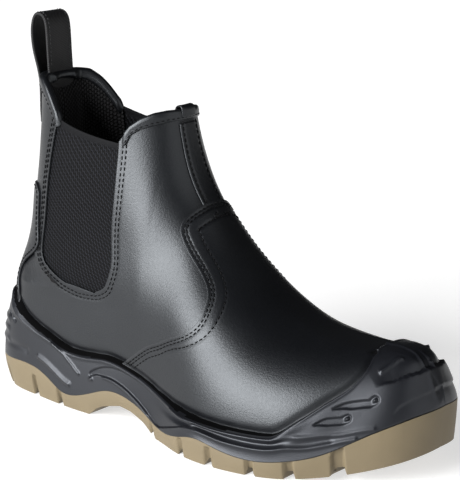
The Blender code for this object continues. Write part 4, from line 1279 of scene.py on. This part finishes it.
edge_z, ground = tread[0, :, 2], tread[-1, :, 2]
up_share = (tread[..., 2] - ground) / np.maximum(edge_z - ground, 1)
tread[..., 2] += channel_lift(tread) * (1 - up_share)
for x, width, height, depth in zip(*NOTCHES.values()):
    sideways = np.abs((tread[..., 0] - x) / np.maximum(np.abs(out[:, 1]), 0.35))
    inside = (1 - smooth(width / 2 - 0.3, width / 2 + 0.7, sideways)) \
        * (1 - smooth(height - 1.2, height + 0.4, tread[..., 2] - ground))
    tread = tread - out * (inside * depth)[..., None]
ring, middle = tread[-1], len(tread_angles) // 2
under = across(ring, 60)
under[..., 2] = floor_z(under[..., 0]) + channel_lift(under)
under[:, 0], under[0], under[-1] = ring[:middle + 1], ring[0], ring[middle]
under[1:-1, -1] = ring[:middle:-1]
side_quads = grid_quads(tread.shape[0], tread.shape[1], closed=True).reshape(-1, 4)
under_quads = grid_quads(*under.shape[:2]).reshape(-1, 4) + tread.shape[0] * tread.shape[1]
tread_points = np.concatenate([tread.reshape(-1, 3), under.reshape(-1, 3)])
rubber = Finish("tan rubber", Roughness=0.62)
rubber.colour(rubber.noise(90.0), (0.116, 0.090, 0.050), (0.136, 0.106, 0.060))
rubber.relief(rubber.noise(1400.0), 0.05)
make("outsole_tread", tread_points, np.concatenate([side_quads, under_quads]), [rubber.material],
     ["outsole"])

# %% [markdown]
# ## Insole
# The footbed is the one piece that the photograph hides. It closes the boot inside.

# %% Insole
insole_fabric = Finish("insole fabric", Roughness=0.9)
insole_fabric.colour(insole_fabric.noise(700.0), (0.012, 0.012, 0.013), (0.028, 0.028, 0.030))
angles = np.radians(np.arange(0, 360, 3.0))
BED_INSET, BED_HIGH = 3.0, 3.2
rim = on_last(angles, 0.006, -BED_INSET)
rim[:, 2] = last_point(angles, 0.0)[:, 2]
bed = across(rim, 24) + np.array([0, 0, BED_HIGH])
make("insole_footbed", bed, grid_quads(*bed.shape[:2]), [insole_fabric.material], ["insole"])

# %% [markdown]
# ## Floor and light
# A pale floor, a broad soft lamp low before the outer side and a weak one before the toe, as in
# a product studio. They stand where the photograph's highlights ask for them.

# %% Floor and lights
LAMPS = (
    # name, degrees round from the outer side, degrees up, spread, strength
    ("key", -18, 17, 50, 9.0),
    ("fill", 95, 18, 60, 0.9))
for name, azimuth, height, spread, strength in LAMPS:
    lamp_data = bpy.data.lights.new(name, "SUN")
    lamp_data.energy, lamp_data.angle = strength, radians(spread)
    lamp = bpy.data.objects.new(name, lamp_data)
    azimuth, height = radians(azimuth), radians(height)
    lamp_from = Vector((np.sin(azimuth) * np.cos(height), -np.cos(azimuth) * np.cos(height),
                        np.sin(height)))
    lamp.rotation_euler = (-lamp_from).to_track_quat("-Z", "Y").to_euler()
    bpy.context.collection.objects.link(lamp)
bpy.context.scene.view_settings.view_transform = "Standard"

floor_mesh = bpy.data.meshes.new("floor")
corners = [(x, y, -0.0002) for x, y in ((-6, -6), (6, -6), (6, 6), (-6, 6))]
floor_mesh.from_pydata(corners, [], [(0, 1, 2, 3)])
paper = Finish("pale paper", Roughness=0.9, Base_Color=(0.50, 0.50, 0.50, 1),
               Emission_Color=(1, 1, 1, 1), Emission_Strength=0.60)
floor_mesh.materials.append(paper.material)
floor_piece = bpy.data.objects.new("floor", floor_mesh)
bpy.context.collection.objects.link(floor_piece)

world = bpy.data.worlds.new("studio")
bpy.context.scene.world = world
world.use_nodes = True
sky = world.node_tree.nodes["Background"]
sky.inputs["Color"].default_value = (1, 1, 1, 1)
sky.inputs["Strength"].default_value = 0.03
